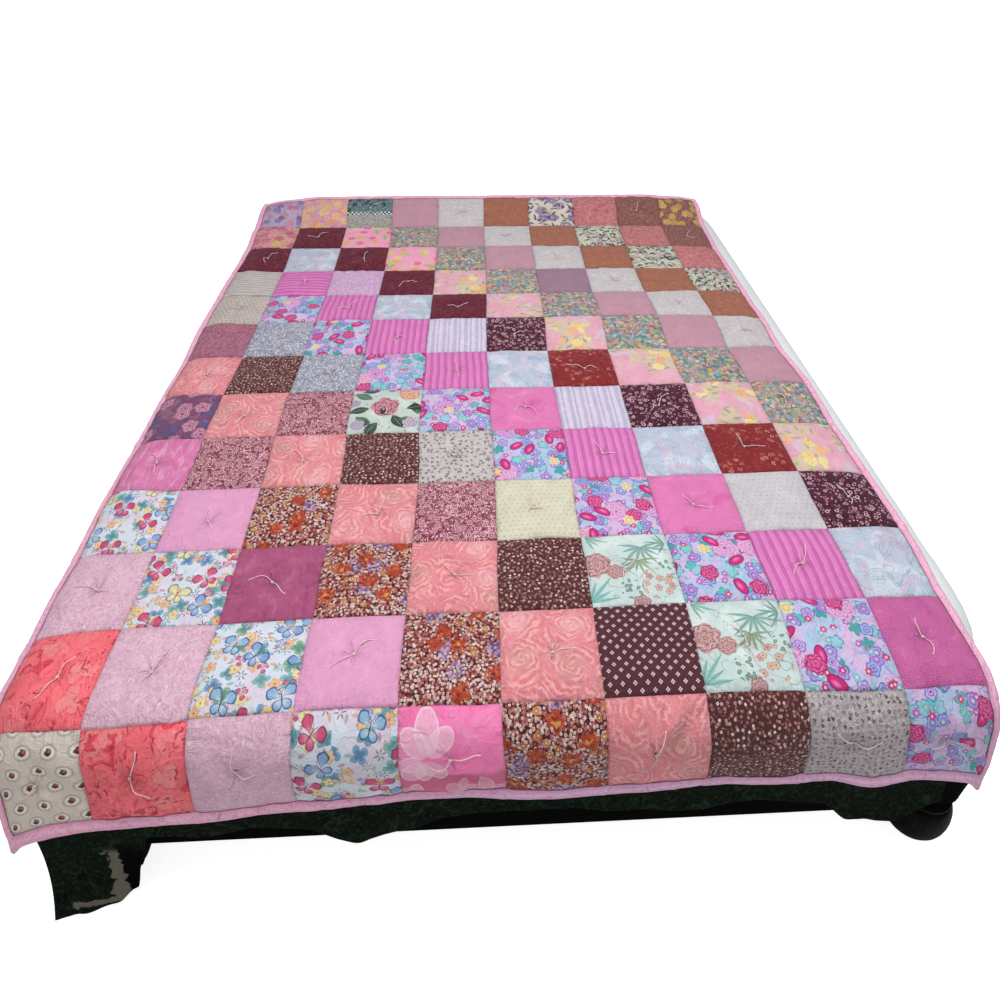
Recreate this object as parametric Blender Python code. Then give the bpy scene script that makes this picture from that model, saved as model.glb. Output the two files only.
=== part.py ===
"""Patchwork quilt spread on a low bed.

The quilt is ten squares wide and thirteen long.  It lies flat on the mattress,
laps up a little at the head, rolls over both long shoulders of the mattress and
turns down over its foot, where the hem hangs free in shallow flutes.  A folded
cotton binding closes the raw edge all round.  Under it are a plain mattress, a
plain black frame on four bun feet, and the plain dark cloth that hangs between
mattress and frame at the foot.

Metres, +Z up, floor at z = 0.  +X is across the bed, +Y points to its head.
"""

import math

import bmesh
import bpy
from mathutils import Vector

# ---------------------------------------------------------------- sizes
PITCH = 0.1515          # finished square of the patchwork, seam to seam
COLUMNS, ROWS = 10, 13
HALF_W = PITCH * COLUMNS / 2
LENGTH = PITCH * ROWS
BORDER = 0.024          # batting and backing past the last seam, inside the binding

FLOOR_TO_FRAME = 0.110  # height of the bun feet
FRAME_DEEP = 0.135
MATTRESS_DEEP = 0.199
MATTRESS_WIDE = 1.566
MATTRESS_LONG = 2.015
MATTRESS_LOW_EDGE = 0.045
MATTRESS_CORNER = 0.225 # rounding of its corners, seen from above
MATTRESS_OFF_X = 0.043  # the quilt lies a little to the left of the bed's centre line
MATTRESS_FOOT = -1.850  # its foot face, measured from the quilt's head seam
FRAME_IN = 0.012        # the frame stands in from the mattress on its long sides
FRAME_IN_ENDS = 0.002   # and is nearly flush with it at head and foot
FOOT_RADIUS = 0.056
FEET_IN_X = 0.070       # centres of the feet, in from the mattress
FEET_IN_FOOT = 0.034
FEET_IN_HEAD = 0.062

# Its soft top edge: a slow crown that tightens towards the side.
MATTRESS_SHOULDER = [
    # in_from_side  below_top
    (0.000, 0.085),
    (0.004, 0.062),
    (0.015, 0.041),
    (0.034, 0.024),
    (0.060, 0.013),
    (0.095, 0.006),
    (0.145, 0.000),
]

CLEAR = 0.003           # cloth over the mattress
GAP = 0.0003            # between pieces that touch

SEAM_THICK = 0.0060     # quilt at a seam
PUFF = 0.0060           # extra loft in the middle of a square
TIE_DIP = 0.0035        # how far a tie pulls the middle of its square down

BINDING_FACE = 0.027    # width of binding seen on the top side
BINDING_BACK = 0.022
BINDING_THICK = 0.0015

# where the origin lies, in the frame that the tables below use
ORIGIN_X, ORIGIN_Y = 0.0198, -0.87035
Z_MATTRESS = FLOOR_TO_FRAME + FRAME_DEEP + GAP * 2 + MATTRESS_DEEP

# ---------------------------------------------------------------- drape tables
# Long sides: row of squares counted from the head, then for each side the
# steepest angle in degrees that the cloth takes past the shoulder, and the
# half width at which it leaves the flat.
SIDES = [
    # row  left_deg left_from right_deg right_from
    (-0.5,    8.0,   0.690,      8.0,    0.700),
    (1.0,    10.0,   0.690,     11.0,    0.700),
    (3.0,    12.0,   0.690,     11.0,    0.700),
    (5.0,    16.0,   0.690,     11.0,    0.700),
    (7.0,    30.0,   0.690,     11.0,    0.700),
    (9.0,    36.0,   0.690,     11.0,    0.700),
    (10.5,   50.0,   0.686,     11.0,    0.701),
    (11.1,   56.0,   0.680,     13.0,    0.704),
    (12.1,   66.0,   0.672,     38.0,    0.698),
    (13.5,   72.0,   0.664,     56.0,    0.684),
]
# Foot: distance across from the centre line, how far before the common line the
# cloth starts to turn down, and how far the hem stands out from plumb.
FOOT = [
    # across  early   stands_out
    (-0.80,   0.028,  0.032),
    (-0.70,   0.013,  0.027),
    (-0.60,   0.005,  0.019),
    (-0.47,   0.001,  0.014),
    (-0.31,   0.001,  0.004),
    (-0.11,   0.000, -0.002),
    (0.065,   0.001,  0.009),
    (0.20,    0.001,  0.004),
    (0.34,    0.001, -0.003),
    (0.44,    0.002,  0.003),
    (0.51,    0.003,  0.003),
    (0.575,   0.002,  0.018),
    (0.64,    0.002,  0.010),
    (0.72,    0.006,  0.015),
    (0.80,    0.018,  0.020),
]
TURN_LINE = 1.790       # where the foot starts to turn down, from the head seam
TURN_RADIUS = 0.075
SIDE_RADIUS = 0.100
HEAD_RISE = 0.040       # the head edge stands this far off the mattress
HEAD_REACH = 0.165

# Dark cloth at the foot: distance across, heights above the floor of its upper
# and lower edges, and how far the lower one stands out from the frame.
UNDERCLOTH = [
    # across  upper_edge  lower_edge  stands_out
    (-0.745,  0.237,      0.006,      0.052),
    (-0.700,  0.241,      0.020,      0.047),
    (-0.650,  0.247,      0.070,      0.036),
    (-0.615,  0.255,      0.130,      0.022),
    (-0.560,  0.273,      0.195,      0.010),
    (-0.470,  0.290,      0.170,      0.008),
    (-0.400,  0.300,      0.190,      0.009),
    (-0.320,  0.300,      0.186,      0.009),
    (-0.235,  0.300,      0.158,      0.018),
    (-0.160,  0.300,      0.180,      0.013),
    (-0.080,  0.300,      0.199,      0.007),
    (0.060,   0.300,      0.205,      0.007),
    (0.180,   0.300,      0.195,      0.009),
    (0.300,   0.300,      0.186,      0.011),
    (0.420,   0.300,      0.202,      0.008),
    (0.520,   0.295,      0.185,      0.009),
    (0.590,   0.283,      0.128,      0.012),
    (0.660,   0.261,      0.114,      0.014),
    (0.735,   0.247,      0.168,      0.010),
]
UNDERCLOTH_THICK = 0.0025


# ---------------------------------------------------------------- helpers
def along(table, at, column):
    """Smooth value of one column of a table at a place along its first column."""
    if at <= table[0][0]:
        return table[0][column]
    for low, high in zip(table, table[1:]):
        if at <= high[0]:
            t = (at - low[0]) / (high[0] - low[0])
            t = t * t * (3.0 - 2.0 * t)
            return low[column] + (high[column] - low[column]) * t
    return table[-1][column]


def ease(t):
    t = min(max(t, 0.0), 1.0)
    return t * t * (3.0 - 2.0 * t)


def rolled(past, radius, steepest):
    """Cloth that runs `past` beyond a shoulder: how far out and how far down."""
    if past <= 0.0:
        return past, 0.0
    angle = min(past / radius, steepest)
    rest = past - radius * angle
    return (
        radius * math.sin(angle) + rest * math.cos(angle),
        radius * (1.0 - math.cos(angle)) + rest * math.sin(angle),
    )


def drape(u, v):
    """Underside of the quilt for a point u across and v down from the head seam."""
    row = v / PITCH
    column = 1 if u < 0 else 3
    steepest = math.radians(along(SIDES, row, column))
    start = along(SIDES, row, column + 1)
    out, down_side = rolled(abs(u) - start, SIDE_RADIUS, steepest)
    x = math.copysign(start + out, u)

    turn = TURN_LINE - along(FOOT, u, 1)
    lean = math.asin(along(FOOT, u, 2) / 0.10)
    out, down_foot = rolled(v - turn, TURN_RADIUS, math.pi / 2 - lean)
    y = -(turn + out)

    near_head = ease((HEAD_REACH - v) / HEAD_REACH)
    at_sides = 1.0 - 0.55 * ease((abs(u) - 0.56) / 0.2)
    up = HEAD_RISE * near_head * at_sides
    y -= 0.008 * near_head
    # slow unevenness of cloth that was spread by hand
    up += 0.0016 * (1.0 + math.sin(5.3 * u + 2.1 * v) * math.sin(4.1 * v - 1.7 * u + 0.6))
    return Vector((x, y, CLEAR + up - down_side - down_foot))


def facing(u, v, step=0.004):
    """Unit normal of the underside, pointing up and out of the bed."""
    across = drape(u + step, v) - drape(u - step, v)
    down = drape(u, v + step) - drape(u, v - step)
    return down.cross(across).normalized()


def loft(u, v):
    """Thickness of the quilt: drawn in at the seams, full between them."""
    u = min(max(u, -HALF_W), HALF_W)
    v = min(max(v, 0.0), LENGTH)
    across = abs(math.sin(math.pi * u / PITCH))
    down = abs(math.sin(math.pi * v / PITCH))
    full = (across * down) ** 0.5
    column, row = math.floor(u / PITCH + COLUMNS / 2), math.floor(v / PITCH)
    tied = (row + column) % 2 == 0
    middle = max(0.0, across * down * 2.0 - 1.0) ** 2 if tied else 0.0
    return SEAM_THICK + PUFF * full - TIE_DIP * middle


def placed(point):
    return Vector((point.x - ORIGIN_X, point.y - ORIGIN_Y, point.z + Z_MATTRESS))


def finish(name, bm, colour, roughness, smooth=True):
    """Turns a bmesh into a named object with a material of its own."""
    bmesh.ops.recalc_face_normals(bm, faces=bm.faces)
    if bm.calc_volume(signed=True) < 0.0:
        bmesh.ops.reverse_faces(bm, faces=bm.faces)
    mesh = bpy.data.meshes.new(name)
    bm.to_mesh(mesh)
    bm.free()
    thing = bpy.data.objects.new(name, mesh)
    bpy.context.scene.collection.objects.link(thing)
    if smooth:
        mesh.shade_smooth()
        mesh.set_sharp_from_angle(angle=math.radians(50.0))
    material = bpy.data.materials.new(name)
    material.use_nodes = True
    shader = material.node_tree.nodes["Principled BSDF"]
    shader.inputs["Base Color"].default_value = (*colour, 1.0)
    shader.inputs["Roughness"].default_value = roughness
    shader.inputs["Metallic"].default_value = 0.0
    mesh.materials.append(material)
    return thing


# ---------------------------------------------------------------- quilt
def stations(count, steps_first, steps, steps_last):
    """Places along one side of the patchwork, in squares from its start."""
    places = [0.0]
    for square in range(count):
        n = steps_first if square == 0 else steps_last if square == count - 1 else steps
        places += [square + (k + 1) / n for k in range(n)]
    return places


ACROSS = [PITCH * (p - COLUMNS / 2) for p in stations(COLUMNS, 5, 3, 5)]
DOWN = [PITCH * p for p in stations(ROWS, 4, 3, 9)]


def ring(values_u, values_v, grow):
    """The outline of the patchwork, grown by `grow`: a loop of (u, v) places."""
    n, m = len(values_u), len(values_v)
    steps = (
        [(i, 0) for i in range(n - 1)]
        + [(n - 1, j) for j in range(m - 1)]
        + [(i, m - 1) for i in range(n - 1, 0, -1)]
        + [(0, j) for j in range(m - 1, 0, -1)]
    )
    places = []
    for i, j in steps:
        u, v = values_u[i], values_v[j]
        if i == 0:
            u -= grow
        elif i == n - 1:
            u += grow
        if j == 0:
            v -= grow
        elif j == m - 1:
            v += grow
        places.append((u, v))
    return steps, places


def sheet_side(bm, height, coarse):
    """One side of the quilt: a grid of squares and the border ring round it.

    The plain backing is coarse: half as many stations, and straight between them,
    so its outline keeps every station of the patchwork.  Returns the outline.
    """
    step = 2 if coarse else 1
    values_u, values_v = ACROSS[::step], DOWN[::step]

    def vert(u, v):
        return bm.verts.new(placed(drape(u, v) + facing(u, v) * height(u, v)))

    grid = [[vert(u, v) for u in values_u] for v in values_v]
    steps, places = ring(ACROSS, DOWN, BORDER)
    count = len(steps)
    inner = [
        None if coarse and k % 2 else grid[j // step][i // step]
        for k, (i, j) in enumerate(steps)
    ]
    rim = [None if coarse and k % 2 else vert(u, v) for k, (u, v) in enumerate(places)]
    halfway = {}
    if coarse:
        for k in range(1, count, 2):
            n = (k + 1) % count
            inner[k] = bm.verts.new((inner[k - 1].co + inner[n].co) / 2)
            rim[k] = bm.verts.new((rim[k - 1].co + rim[n].co) / 2)
            halfway[frozenset((inner[k - 1], inner[n]))] = inner[k]
    for upper, lower in zip(grid, grid[1:]):
        for k in range(len(values_u) - 1):
            corners = (upper[k], upper[k + 1], lower[k + 1], lower[k])
            outline = []
            for a, b in zip(corners, corners[1:] + corners[:1]):
                outline.append(a)
                if frozenset((a, b)) in halfway:
                    outline.append(halfway[frozenset((a, b))])
            bm.faces.new(outline)
    for k in range(count):
        n = (k + 1) % count
        bm.faces.new((inner[k], inner[n], rim[n]))
        bm.faces.new((inner[k], rim[n], rim[k]))
    return rim


def make_quilt():
    bm = bmesh.new()
    top = sheet_side(bm, loft, coarse=False)
    under = sheet_side(bm, lambda u, v: 0.0, coarse=True)
    for k in range(len(top)):
        n = (k + 1) % len(top)
        bm.faces.new((under[k], top[k], top[n]))
        bm.faces.new((under[k], top[n], under[n]))
    bmesh.ops.triangulate(bm, faces=bm.faces)
    return finish("quilt", bm, (0.72, 0.42, 0.47), 0.9)


# ---------------------------------------------------------------- binding
def make_binding():
    """Strip folded over the raw edge: a face leg, a closed edge and a back leg."""
    bm = bmesh.new()
    # From its inner edge on the face, round the outside, to its edge on the back,
    # then home along the inside of the fold.
    near, far = BORDER - BINDING_FACE, BORDER + 0.0032
    back = BORDER - BINDING_BACK
    skin = BINDING_THICK
    off, low = GAP + 0.0008, GAP + 0.0017
    profile = [
        # grow       over_top          under
        (near,       off,              None),
        (near,       off + skin,       None),
        (far + skin, off + skin * 0.6, None),
        (far + skin, None,             low + skin * 0.6),
        (back,       None,             low + skin),
        (back,       None,             low),
        (far,        None,             low),
        (far,        off,              None),
    ]
    loops = []
    for grow, over, under in profile:
        _, places = ring(ACROSS, DOWN, grow)
        loop = []
        for u, v in places:
            height = loft(u, v) + over if over is not None else -under
            loop.append(placed(drape(u, v) + facing(u, v) * height))
        if under is not None:
            # the backing has half as many stations and runs straight between them
            for k in range(1, len(loop), 2):
                loop[k] = (loop[k - 1] + loop[(k + 1) % len(loop)]) / 2
        loops.append([bm.verts.new(point) for point in loop])
    for k, loop in enumerate(loops):
        following = loops[(k + 1) % len(loops)]
        # each quad is split from its inner edge to its outer one, as the quilt's
        # border is, so that both bend alike
        outward = profile[k][0] <= profile[(k + 1) % len(profile)][0]
        for i in range(len(loop)):
            n = (i + 1) % len(loop)
            if outward:
                bm.faces.new((loop[i], loop[n], following[n]))
                bm.faces.new((loop[i], following[n], following[i]))
            else:
                bm.faces.new((loop[i], loop[n], following[i]))
                bm.faces.new((loop[n], following[n], following[i]))
    bmesh.ops.triangulate(bm, faces=bm.faces)
    return finish("binding", bm, (0.80, 0.50, 0.60), 0.85)


# ---------------------------------------------------------------- bed
def rounded_outline(wide, long, radius, parts=6):
    """A rectangle with round corners, centred on the origin."""
    points = []
    for corner in range(4):
        cx = (wide / 2 - radius) * (1 if corner in (0, 3) else -1)
        cy = (long / 2 - radius) * (1 if corner in (0, 1) else -1)
        for k in range(parts + 1):
            angle = math.radians(90.0 * (corner + k / parts))
            points.append((cx + radius * math.cos(angle), cy + radius * math.sin(angle)))
    return points


def make_mattress():
    bm = bmesh.new()
    rounding = [math.radians(a) for a in (0.0, 18.0, 36.0, 54.0, 72.0, 90.0)]
    rings = [
        (MATTRESS_LOW_EDGE * (1 - math.sin(a)), MATTRESS_LOW_EDGE * (1 - math.cos(a)))
        for a in rounding
    ]
    rings += [(inset, MATTRESS_DEEP - below) for inset, below in MATTRESS_SHOULDER]
    centre = Vector((MATTRESS_OFF_X, MATTRESS_FOOT + MATTRESS_LONG / 2, -MATTRESS_DEEP))
    loops = []
    for inset, height in rings:
        outline = rounded_outline(
            MATTRESS_WIDE - 2 * inset, MATTRESS_LONG - 2 * inset, MATTRESS_CORNER - inset
        )
        loops.append(
            [bm.verts.new(placed(centre + Vector((x, y, height)))) for x, y in outline]
        )
    for lower, upper in zip(loops, loops[1:]):
        for k in range(len(lower)):
            n = (k + 1) % len(lower)
            bm.faces.new((lower[k], lower[n], upper[n], upper[k]))
    bm.faces.new(list(reversed(loops[0])))
    bm.faces.new(loops[-1])
    return finish("mattress", bm, (0.62, 0.68, 0.71), 0.9)


def make_frame():
    bm = bmesh.new()
    outline = rounded_outline(
        MATTRESS_WIDE - 2 * FRAME_IN, MATTRESS_LONG - 2 * FRAME_IN_ENDS, 0.040, parts=4
    )
    middle_y = MATTRESS_FOOT + MATTRESS_LONG / 2
    low = -MATTRESS_DEEP - GAP - FRAME_DEEP
    base = bm.faces.new(
        [
            bm.verts.new(placed(Vector((MATTRESS_OFF_X + x, middle_y + y, low))))
            for x, y in outline
        ]
    )
    raised = bmesh.ops.extrude_face_region(bm, geom=[base])
    bmesh.ops.translate(
        bm,
        vec=(0.0, 0.0, FRAME_DEEP),
        verts=[g for g in raised["geom"] if isinstance(g, bmesh.types.BMVert)],
    )
    return finish("bed_frame", bm, (0.010, 0.010, 0.012), 0.6)


def make_foot(name, side, end):
    """A turned bun foot: flat under, flat on top, round between."""
    bm = bmesh.new()
    tall = FLOOR_TO_FRAME
    turned = [
        # height_share radius_share
        (0.00, 0.50),
        (0.08, 0.72),
        (0.25, 0.93),
        (0.45, 1.00),
        (0.68, 0.96),
        (0.88, 0.82),
        (1.00, 0.70),
    ]
    x = MATTRESS_OFF_X + side * (MATTRESS_WIDE / 2 - FEET_IN_X)
    middle_y = MATTRESS_FOOT + MATTRESS_LONG / 2
    y = middle_y + end * (MATTRESS_LONG / 2 - (FEET_IN_FOOT if end < 0 else FEET_IN_HEAD))
    sides = 18
    loops = []
    for share, radius in turned:
        z = share * tall
        loops.append(
            [
                bm.verts.new(
                    (
                        x - ORIGIN_X + FOOT_RADIUS * radius * math.cos(2 * math.pi * k / sides),
                        y - ORIGIN_Y + FOOT_RADIUS * radius * math.sin(2 * math.pi * k / sides),
                        z,
                    )
                )
                for k in range(sides)
            ]
        )
    for lower, upper in zip(loops, loops[1:]):
        for k in range(sides):
            n = (k + 1) % sides
            bm.faces.new((lower[k], lower[n], upper[n], upper[k]))
    bm.faces.new(list(reversed(loops[0])))
    bm.faces.new(loops[-1])
    return finish(name, bm, (0.010, 0.010, 0.012), 0.6)


def make_undercloth():
    """Plain dark cloth hanging over the foot of the frame, its lower edge uneven."""
    bm = bmesh.new()
    first, last = UNDERCLOTH[0][0], UNDERCLOTH[-1][0]
    count = 42
    levels = 4
    face = MATTRESS_FOOT - 0.0012
    front, rear = [], []
    for i in range(count + 1):
        x = first + (last - first) * i / count
        upper = along(UNDERCLOTH, x, 1)
        lower = along(UNDERCLOTH, x, 2)
        out = along(UNDERCLOTH, x, 3)
        column_front, column_rear = [], []
        for k in range(levels + 1):
            share = k / levels
            z = upper + (lower - upper) * share
            y = face - out * share**3
            column_rear.append(bm.verts.new((x - ORIGIN_X, y - ORIGIN_Y, z)))
            column_front.append(
                bm.verts.new((x - ORIGIN_X, y - UNDERCLOTH_THICK - ORIGIN_Y, z))
            )
        front.append(column_front)
        rear.append(column_rear)
    for side, flip in ((front, False), (rear, True)):
        for a, b in zip(side, side[1:]):
            for k in range(levels):
                quad = (a[k], a[k + 1], b[k + 1], b[k])
                bm.faces.new(tuple(reversed(quad)) if flip else quad)
    for i in range(count):
        for k in (0, levels):
            bm.faces.new((front[i][k], front[i + 1][k], rear[i + 1][k], rear[i][k]))
    for i in (0, count):
        for k in range(levels):
            bm.faces.new((front[i][k], front[i][k + 1], rear[i][k + 1], rear[i][k]))
    return finish("undercloth", bm, (0.020, 0.045, 0.035), 0.95)


def main():
    for thing in list(bpy.data.objects):
        bpy.data.objects.remove(thing, do_unlink=True)
    make_quilt()
    make_binding()
    make_mattress()
    make_frame()
    make_foot("foot_left_end", -1, -1)
    make_foot("foot_right_end", 1, -1)
    make_foot("foot_left_head", -1, 1)
    make_foot("foot_right_head", 1, 1)
    make_undercloth()


main()
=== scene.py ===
"""Looks for the patchwork quilt spread on a low bed: the draped quilt with its
patches, ties and binding, the sheeted mattress, the black bed and the dark
cloth at its foot.  Metres, +Z up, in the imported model's own frame."""

import math
import random

import bpy
import numpy as np
from mathutils import Matrix, Vector


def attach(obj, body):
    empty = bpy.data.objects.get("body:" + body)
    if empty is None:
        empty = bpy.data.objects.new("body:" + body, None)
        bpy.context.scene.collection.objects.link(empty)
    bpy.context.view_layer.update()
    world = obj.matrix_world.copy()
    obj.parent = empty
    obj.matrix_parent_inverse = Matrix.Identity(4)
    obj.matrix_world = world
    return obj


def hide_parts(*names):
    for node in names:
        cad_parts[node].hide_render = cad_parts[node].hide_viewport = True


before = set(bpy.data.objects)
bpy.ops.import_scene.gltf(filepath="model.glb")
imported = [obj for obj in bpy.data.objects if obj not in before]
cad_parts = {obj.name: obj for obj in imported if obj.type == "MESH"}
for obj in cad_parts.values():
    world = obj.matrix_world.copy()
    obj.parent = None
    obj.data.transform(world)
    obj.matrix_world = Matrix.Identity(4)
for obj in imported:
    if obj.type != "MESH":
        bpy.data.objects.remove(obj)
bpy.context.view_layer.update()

# ------------------------------------------------------------------ camera
camera_data = bpy.data.cameras.new("camera")
camera = bpy.data.objects.new("camera", camera_data)
bpy.context.scene.collection.objects.link(camera)
bpy.context.scene.camera = camera
camera_data.sensor_width = 36.0
camera_data.lens = 25.92
camera_data.shift_x = -0.013
camera_data.shift_y = -0.146
camera_data.clip_end = 200.0


def aimed(place, yaw, pitch, roll):
    ahead = Vector((math.sin(yaw) * math.cos(pitch), math.cos(yaw) * math.cos(pitch), -math.sin(pitch)))
    right = ahead.cross(Vector((0, 0, 1))).normalized()
    up = right.cross(ahead)
    across = right * math.cos(roll) + up * math.sin(roll)
    upward = up * math.cos(roll) - right * math.sin(roll)
    return Matrix(
        (
            (across.x, upward.x, -ahead.x, place[0]),
            (across.y, upward.y, -ahead.y, place[1]),
            (across.z, upward.z, -ahead.z, place[2]),
            (0, 0, 0, 1),
        )
    )


camera.matrix_world = aimed(
    (-0.0399, -1.539, 1.460), math.radians(3.073), math.radians(34.065), math.radians(0.579)
)

# ------------------------------------------------------------------ sizes
PITCH = 0.1515
COLUMNS, ROWS = 10, 13
HALF_W = PITCH * COLUMNS / 2
LENGTH = PITCH * ROWS
BORDER = 0.024
FLOOR_TO_FRAME = 0.110
FRAME_DEEP = 0.135
MATTRESS_DEEP = 0.199
MATTRESS_WIDE = 1.566
MATTRESS_LONG = 2.015
MATTRESS_LOW_EDGE = 0.045
MATTRESS_CORNER = 0.225
MATTRESS_OFF_X = 0.043
MATTRESS_FOOT = -1.850
FRAME_IN = 0.012
FRAME_IN_ENDS = 0.002
FOOT_RADIUS = 0.056
FEET_IN_X = 0.070
FEET_IN_FOOT = 0.034
FEET_IN_HEAD = 0.062
# soft top edge of the mattress: (in from its side, below its top)
MATTRESS_SHOULDER = [
    (0.000, 0.085), (0.004, 0.062), (0.015, 0.041), (0.034, 0.024), (0.060, 0.013), (0.095, 0.006), (0.145, 0.000),
]
CLEAR = 0.003
GAP = 0.0003
SEAM_THICK = 0.0058
BINDING_FACE = 0.027
BINDING_BACK = 0.022
BINDING_THICK = 0.0015
ORIGIN_X, ORIGIN_Y = 0.0198, -0.87035
Z_MATTRESS = FLOOR_TO_FRAME + FRAME_DEEP + GAP * 2 + MATTRESS_DEEP
TURN_LINE = 1.790
TURN_RADIUS = 0.075
SIDE_RADIUS = 0.100
HEAD_RISE = 0.040
HEAD_REACH = 0.165

# Long sides: row of squares, then for each side the steepest angle past the
# shoulder and the half width at which the cloth leaves the flat.
SIDES = [
    # row  left_deg left_from right_deg right_from
    (-0.5, 8.0, 0.690, 8.0, 0.700),
    (1.0, 10.0, 0.690, 11.0, 0.700),
    (3.0, 12.0, 0.690, 11.0, 0.700),
    (5.0, 16.0, 0.690, 11.0, 0.700),
    (7.0, 30.0, 0.690, 11.0, 0.700),
    (9.0, 36.0, 0.690, 11.0, 0.700),
    (10.5, 50.0, 0.686, 11.0, 0.701),
    (11.1, 56.0, 0.680, 13.0, 0.704),
    (12.1, 66.0, 0.672, 38.0, 0.698),
    (13.5, 72.0, 0.664, 56.0, 0.684),
]
# Foot: place across, how early the cloth turns down, how far the hem stands out.
FOOT = [
    # across early stands_out
    (-0.80, 0.028, 0.032),
    (-0.70, 0.013, 0.027),
    (-0.60, 0.005, 0.019),
    (-0.47, 0.001, 0.014),
    (-0.31, 0.001, 0.004),
    (-0.11, 0.000, -0.002),
    (0.065, 0.001, 0.009),
    (0.20, 0.001, 0.004),
    (0.34, 0.001, -0.003),
    (0.44, 0.002, 0.003),
    (0.51, 0.003, 0.003),
    (0.575, 0.002, 0.018),
    (0.64, 0.002, 0.010),
    (0.72, 0.006, 0.015),
    (0.80, 0.018, 0.020),
]
# How far the seams wander from even squares, in mm: along a row line, at places
# from the left edge to the right one, first sideways and then towards the foot.
DRIFT_AT = (0.0, 1.0, 3.0, 5.0, 7.0, 9.0, 10.0)
DRIFT = [
    # row   sideways at each place              towards the foot at each place
    (0.0, (2, -16, -13, 0, 5, 8, 0), (-14, -6, -8, -1, 2, 1, -18)),
    (1.5, (6, -6, -3, -2, 0, -8, -16), (-12, 0, 2, 7, 14, 20, 12)),
    (3.0, (12, 2, -2, 0, -2, -3, -15), (-3, 12, 9, 14, 14, 18, 16)),
    (5.0, (7, 2, -4, -3, 2, 5, -17), (-5, 8, 2, 2, 2, 2, 6)),
    (6.0, (13, 0, -6, -5, -3, 0, -18), (5, 9, 5, 2, 4, 7, 4)),
    (7.5, (11, -5, -10, -2, 0, 6, -12), (5, 7, 4, 3, 9, 4, 5)),
    (9.0, (10, 1, 2, 3, 2, 7, -8), (2, 11, 9, 8, 8, 4, 6)),
    (11.0, (26, 9, 3, 1, 7, 6, -12), (18, 14, 8, 6, 1, 5, 1)),
    (12.0, (28, 8, 1, 0, 1, -4, -16), (10, 15, 4, 4, 1, 8, 3)),
    (13.0, (24, -1, -8, 5, 12, 11, 3), (20, 22, 24, 12, 16, 10, 6)),
]

# The outermost seam on each long side wanders more, as the edge rolls there.
EDGES = [
    # row  left_sideways  right_sideways  left_down  right_down, mm
    (0.0, 0, -6, -24, -22),
    (1.0, 2, -20, -20, 14),
    (2.0, 14, -27, -8, 32),
    (3.0, 13, -24, -2, 29),
    (4.0, 9, -25, -6, 19),
    (5.0, 8, -22, -6, 11),
    (6.0, 17, -26, 6, 4),
    (7.0, 9, -12, 4, 6),
    (8.0, 14, -15, 8, 10),
    (9.0, 11, -9, 2, 10),
    (10.0, 22, -6, 10, 1),
    (11.0, 25, -19, 22, 6),
    (12.0, 25, -23, 10, 5),
    (13.0, 18, 4, 27, 9),
]


# ------------------------------------------------------------------ numbers
def along(table, at, column):
    """Smooth value of one column of a table, at many places at once."""
    at = np.asarray(at, float)
    xs = np.array([row[0] for row in table])
    ys = np.array([row[column] for row in table])
    k = np.clip(np.searchsorted(xs, at, side="left") - 1, 0, len(xs) - 2)
    t = np.clip((at - xs[k]) / (xs[k + 1] - xs[k]), 0.0, 1.0)
    t = t * t * (3.0 - 2.0 * t)
    return ys[k] + (ys[k + 1] - ys[k]) * t


def ease(t):
    t = np.clip(t, 0.0, 1.0)
    return t * t * (3.0 - 2.0 * t)


def lattice(i, j, seed):
    h = np.sin(i * 127.1 + j * 311.7 + seed * 74.7) * 43758.5453
    return 2.0 * (h - np.floor(h)) - 1.0


def ripple(x, y, seed=0.0):
    """Smooth noise from -1 to 1 with bumps about one unit wide."""
    x, y = np.broadcast_arrays(np.asarray(x, float), np.asarray(y, float))
    i, j = np.floor(x), np.floor(y)
    s, t = x - i, y - j
    s, t = s * s * s * (s * (s * 6 - 15) + 10), t * t * t * (t * (t * 6 - 15) + 10)
    a = lattice(i, j, seed) * (1 - s) + lattice(i + 1, j, seed) * s
    b = lattice(i, j + 1, seed) * (1 - s) + lattice(i + 1, j + 1, seed) * s
    return a * (1 - t) + b * t


def rolled(past, radius, steepest):
    angle = np.minimum(np.maximum(past, 0.0) / radius, steepest)
    rest = past - radius * angle
    out = np.where(past <= 0, past, radius * np.sin(angle) + rest * np.cos(angle))
    down = np.where(past <= 0, 0.0, radius * (1 - np.cos(angle)) + rest * np.sin(angle))
    return out, down


# ------------------------------------------------------------------ drape
def drape(u, v):
    """Underside of the quilt for points u across and v down from the head seam."""
    u, v = np.broadcast_arrays(np.asarray(u, float), np.asarray(v, float))
    row = v / PITCH
    left = u < 0
    steepest = np.radians(np.where(left, along(SIDES, row, 1), along(SIDES, row, 3)))
    start = np.where(left, along(SIDES, row, 2), along(SIDES, row, 4))
    out, down_side = rolled(np.abs(u) - start, SIDE_RADIUS, steepest)
    x = np.copysign(start + out, u)
    turn = TURN_LINE - along(FOOT, u, 1)
    lean = np.arcsin(along(FOOT, u, 2) / 0.10)
    out, down_foot = rolled(v - turn, TURN_RADIUS, np.pi / 2 - lean)
    y = -(turn + out)
    near_head = ease((HEAD_REACH - v) / HEAD_REACH)
    at_sides = 1.0 - 0.55 * ease((np.abs(u) - 0.56) / 0.2)
    up = HEAD_RISE * near_head * at_sides
    y = y - 0.008 * near_head
    up = up + 0.0016 * (1.0 + np.sin(5.3 * u + 2.1 * v) * np.sin(4.1 * v - 1.7 * u + 0.6))
    return np.stack([x, y, CLEAR + up - down_side - down_foot], axis=-1)


def facing(u, v, step=0.004):
    across = drape(u + step, v) - drape(u - step, v)
    down = drape(u, v + step) - drape(u, v - step)
    normal = np.cross(down, across)
    return normal / np.linalg.norm(normal, axis=-1, keepdims=True)


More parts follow.
